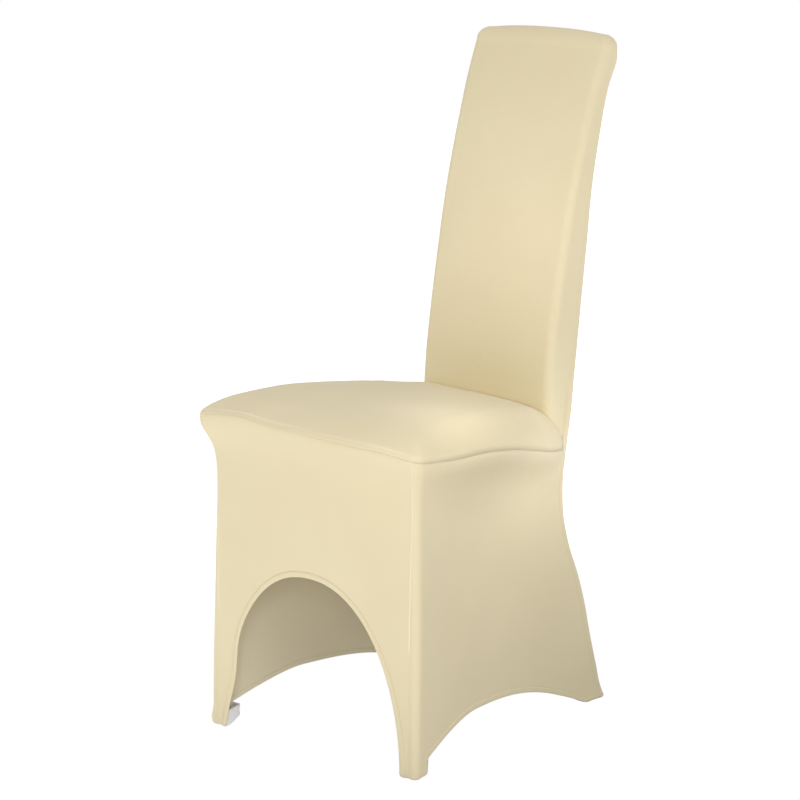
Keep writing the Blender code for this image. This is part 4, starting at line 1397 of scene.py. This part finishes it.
for label, cornersAt in (("front", frontCorners), ("rear", rearCorners)):
    points, faces = pocketMesh(cornersAt)
    if label == "front":
        depth = (points[:, 1] - points[:, 1].min()) / np.ptp(points[:, 1])
        lift = footPocket["heelLift"] * smoothStep(*footPocket["heelLiftFrom"], depth)
        points[:, 2] += lift * (1 - footPocket["topStays"] * points[:, 2] / footPocket["height"])
    for side, sign in (("right", 1.0), ("left", -1.0)):
        shown = points * np.array([sign, 1.0, 1.0])
        turned = faces if sign > 0 else [f[::-1] for f in faces]
        piece = addMesh(f"footPocket{label.title()}{side.title()}", shown, turned, webbingFinish)
        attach(piece, "root")
        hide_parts(f"foot_pocket_{label}_{side}")
print("stage: foot pockets made")


# Threads: rows of short stitches along the hems
stitch = {
    "step": 0.0046,
    "start": 0.0006,
    "length": 0.0033,
    "radius": 0.00024,
    "sink": 0.00005,
    "rise": (0.2, 0.9),      # share of the radius that a stitch stands up, at its ends and more in its middle
    "sides": 5,
    "profile": [(0.0, 0.30), (0.12, 0.85), (0.5, 1.1), (0.88, 0.85), (1.0, 0.30)],  # share along, thickness
    "reach": 0.001,          # the line's way is taken this far before and after a place
    "lowest": 0.012,         # the feet have no stitches below this height
}


def placeAlong(s, along, values):
    return np.array([np.interp(s, along, values[:, c]) for c in range(3)])


def stitchRow(line, ways):
    gaps = np.linalg.norm(np.diff(line, axis=0), axis=1)
    keep = np.concatenate([[True], gaps > 1e-6])
    line, ways = line[keep], ways[keep]
    along = np.concatenate([[0.0], np.cumsum(np.linalg.norm(np.diff(line, axis=0), axis=1))])
    points, faces = [], []
    sides, rings, radius = stitch["sides"], len(stitch["profile"]), stitch["radius"]
    endRise, moreRise = stitch["rise"]
    reach = stitch["reach"]
    for k in range(int(along[-1] / stitch["step"])):
        start = k * stitch["step"] + stitch["start"]
        first = len(points)
        for t, thick in stitch["profile"]:
            s = start + stitch["length"] * t
            spot = placeAlong(s, along, line)
            ahead = placeAlong(s + reach, along, line) - placeAlong(s - reach, along, line)
            up = placeAlong(s, along, ways)
            ahead /= max(np.linalg.norm(ahead), 1e-9)
            up -= ahead * (up @ ahead)
            up /= max(np.linalg.norm(up), 1e-9)
            across = np.cross(ahead, up)
            rise = radius * (endRise + moreRise * math.sin(math.pi * t)) - stitch["sink"]
            for j in range(sides):
                turn = 2 * math.pi * j / sides
                out = (across * math.cos(turn) + up * math.sin(turn)) * radius * thick
                points.append(spot + up * rise + out)
        for r in range(rings - 1):
            for j in range(sides):
                a, b = first + r * sides + j, first + r * sides + (j + 1) % sides
                faces.append((a, a + sides, b + sides, b))
        faces.append(tuple(first + j for j in range(sides)))
        faces.append(tuple(first + (rings - 1) * sides + j for j in reversed(range(sides))))
    return points, faces


# One row of a panel's grid on its outer side, with the normals there
def gridRow(panel, row):
    ids = panel["order"][row * panel["columns"]:(row + 1) * panel["columns"]]
    return panel["outer"][ids], panel["normals"][ids]


byName = {panel["name"]: panel for panel in panels}
hemRow = fine["hem"].index(relief["hemInner"])
threadPoints, threadFaces = [], []
for name in ("frontSkirt", "sideSkirtRight", "sideSkirtLeft", "backPanel"):
    line, ways = gridRow(byName[name], hemRow)
    keep = line[:, 2] > stitch["lowest"]
    points, faces = stitchRow(line[keep], ways[keep])
    threadFaces += [tuple(i + len(threadPoints) for i in f) for f in faces]
    threadPoints += points
threads = addMesh("hemStitches", threadPoints, threadFaces, threadFinish)
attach(threads, "root")
print("stage: stitches made", len(threadFaces))


# Floor, world, lights and camera
studio = {
    "floorSize": 14.0,
    "floorNear": 0.423,      # how bright the floor is as a light, close to the cover's shaded side
    "floorFar": 1.21,
    "shadeCentre": (0.28, 0.24),
    "shadeReach": (0.28, 1.05),
    "dimPatches": [  # centre, reach of the dark middle and of its edge, depth
        ((0.50, 0.26), (0.10, 0.42), 0.40),
        ((-0.12, -0.10), (0.06, 0.26), 0.15),
    ],
    "skyLow": 0.102,
    "skyHigh": 1.07,
}

# place, aim, diameter, spread in degrees, power
studioLights = {
    "leftLight": ((-1.3, -3.6, 1.3), (0.0, 0.0, 0.45), 1.4, 180, 7.7),
    "frontLight": ((2.4, -3.4, 1.6), (0.0, 0.0, 0.45), 1.0, 180, 28.7),
    "rearRightLight": ((2.4, 1.6, 0.7), (0.0, 0.0, 0.45), 1.2, 180, 2.3),
    "rightLight": ((2.6, -0.9, 0.9), (0.0, 0.0, 0.40), 1.0, 180, 8.4),
    "sideSpot": ((1.50, 0.60, 0.45), (0.150, 0.110, 0.415), 0.15, 14, 0.0370),
    "seatSpot": ((0.62, -0.46, 1.45), (0.178, -0.135, 0.515), 0.10, 15, 0.0219),
    "backSpot": ((0.80, -2.40, 0.60), (0.03, 0.200, 0.76), 0.30, 9, 0.031),
}


# A value that changes smoothly with the distance from a spot on the floor
def roundPatch(tree, centre, reach, inside, outside):
    place = addNode(tree, "ShaderNodeTexCoord").outputs["Object"]
    away = addNode(tree, "ShaderNodeVectorMath", {"operation": "SUBTRACT"}, {0: place, 1: (*centre, 0.0)})
    length = addNode(tree, "ShaderNodeVectorMath", {"operation": "LENGTH"}, {0: away.outputs[0]})
    ramp = addNode(tree, "ShaderNodeMapRange", {"interpolation_type": "SMOOTHSTEP"},
                   {"Value": length.outputs["Value"], "From Min": reach[0], "From Max": reach[1],
                    "To Min": inside, "To Max": outside})
    return ramp.outputs[0]


def makeFloor():
    half = studio["floorSize"] / 2
    mesh = bpy.data.meshes.new("studioFloor")
    corners = [(-half, -half, 0), (half, -half, 0), (half, half, 0), (-half, half, 0)]
    mesh.from_pydata(corners, [], [(0, 1, 2, 3)])
    material, tree, shader = newMaterial("studioFloorPaint")
    near, far = studio["floorNear"], studio["floorFar"]
    glow = roundPatch(tree, studio["shadeCentre"], studio["shadeReach"], near, far)
    for centre, reach, depth in studio["dimPatches"]:
        glow = mathNode(tree, "SUBTRACT", glow, roundPatch(tree, centre, reach, depth, 0.0))
    rays = addNode(tree, "ShaderNodeLightPath")
    shown = mathNode(tree, "MAXIMUM", glow, rays.outputs["Is Camera Ray"])
    shader.inputs["Base Color"].default_value = (0.0, 0.0, 0.0, 1.0)
    shader.inputs["Specular IOR Level"].default_value = 0.0
    shader.inputs["Emission Color"].default_value = (1.0, 1.0, 1.0, 1.0)
    tree.links.new(shown, shader.inputs["Emission Strength"])
    mesh.materials.append(material)
    floor = bpy.data.objects.new("studioFloor", mesh)
    bpy.context.scene.collection.objects.link(floor)


def makeWorld():
    world = bpy.data.worlds.new("studioWorld")
    world.use_nodes = True
    tree = world.node_tree
    back = tree.nodes["Background"]
    back.inputs["Color"].default_value = (1.0, 1.0, 1.0, 1.0)
    way = addNode(tree, "ShaderNodeTexCoord").outputs["Generated"]
    split = addNode(tree, "ShaderNodeSeparateXYZ", None, {0: way})
    sky = rampValue(tree, split.outputs[2], studio["skyLow"], studio["skyHigh"])
    rays = addNode(tree, "ShaderNodeLightPath")
    tree.links.new(mathNode(tree, "MAXIMUM", sky, rays.outputs["Is Camera Ray"]), back.inputs["Strength"])
    bpy.context.scene.world = world


def makeLight(name, place, aim, size, spread, power):
    light = bpy.data.lights.new(name, "AREA")
    light.shape = "DISK"
    light.size = size
    light.energy = power
    light.spread = math.radians(spread)
    lamp = bpy.data.objects.new(name, light)
    bpy.context.scene.collection.objects.link(lamp)
    lamp.location = place
    lamp.rotation_euler = (Vector(aim) - Vector(place)).to_track_quat("-Z", "Y").to_euler()


view = {
    "target": (0.0, -0.0662, 0.5157),
    "distance": 4.627,
    "right": (0.7521, 0.6591, 0.0),
    "up": (-0.1358, 0.1550, 0.9785),
    "lens": 135.4,
    "sensor": 36.0,
    "clipEnd": 60.0,
}


def makeCamera():
    camera = bpy.data.cameras.new("photoCamera")
    camera.lens = view["lens"]
    camera.sensor_width = view["sensor"]
    camera.clip_end = view["clipEnd"]
    eye = bpy.data.objects.new("photoCamera", camera)
    bpy.context.scene.collection.objects.link(eye)
    right = Vector(view["right"]).normalized()
    up = Vector(view["up"])
    back = right.cross(up).normalized()
    up = back.cross(right)
    turn = Matrix((right, up, back)).transposed().to_4x4()
    eye.matrix_world = Matrix.Translation(Vector(view["target"]) + back * view["distance"]) @ turn
    bpy.context.scene.camera = eye


makeFloor()
makeWorld()
for name, settings in studioLights.items():
    makeLight(name, *settings)
makeCamera()
bpy.context.scene.view_settings.view_transform = "Standard"
print("stage: studio ready")
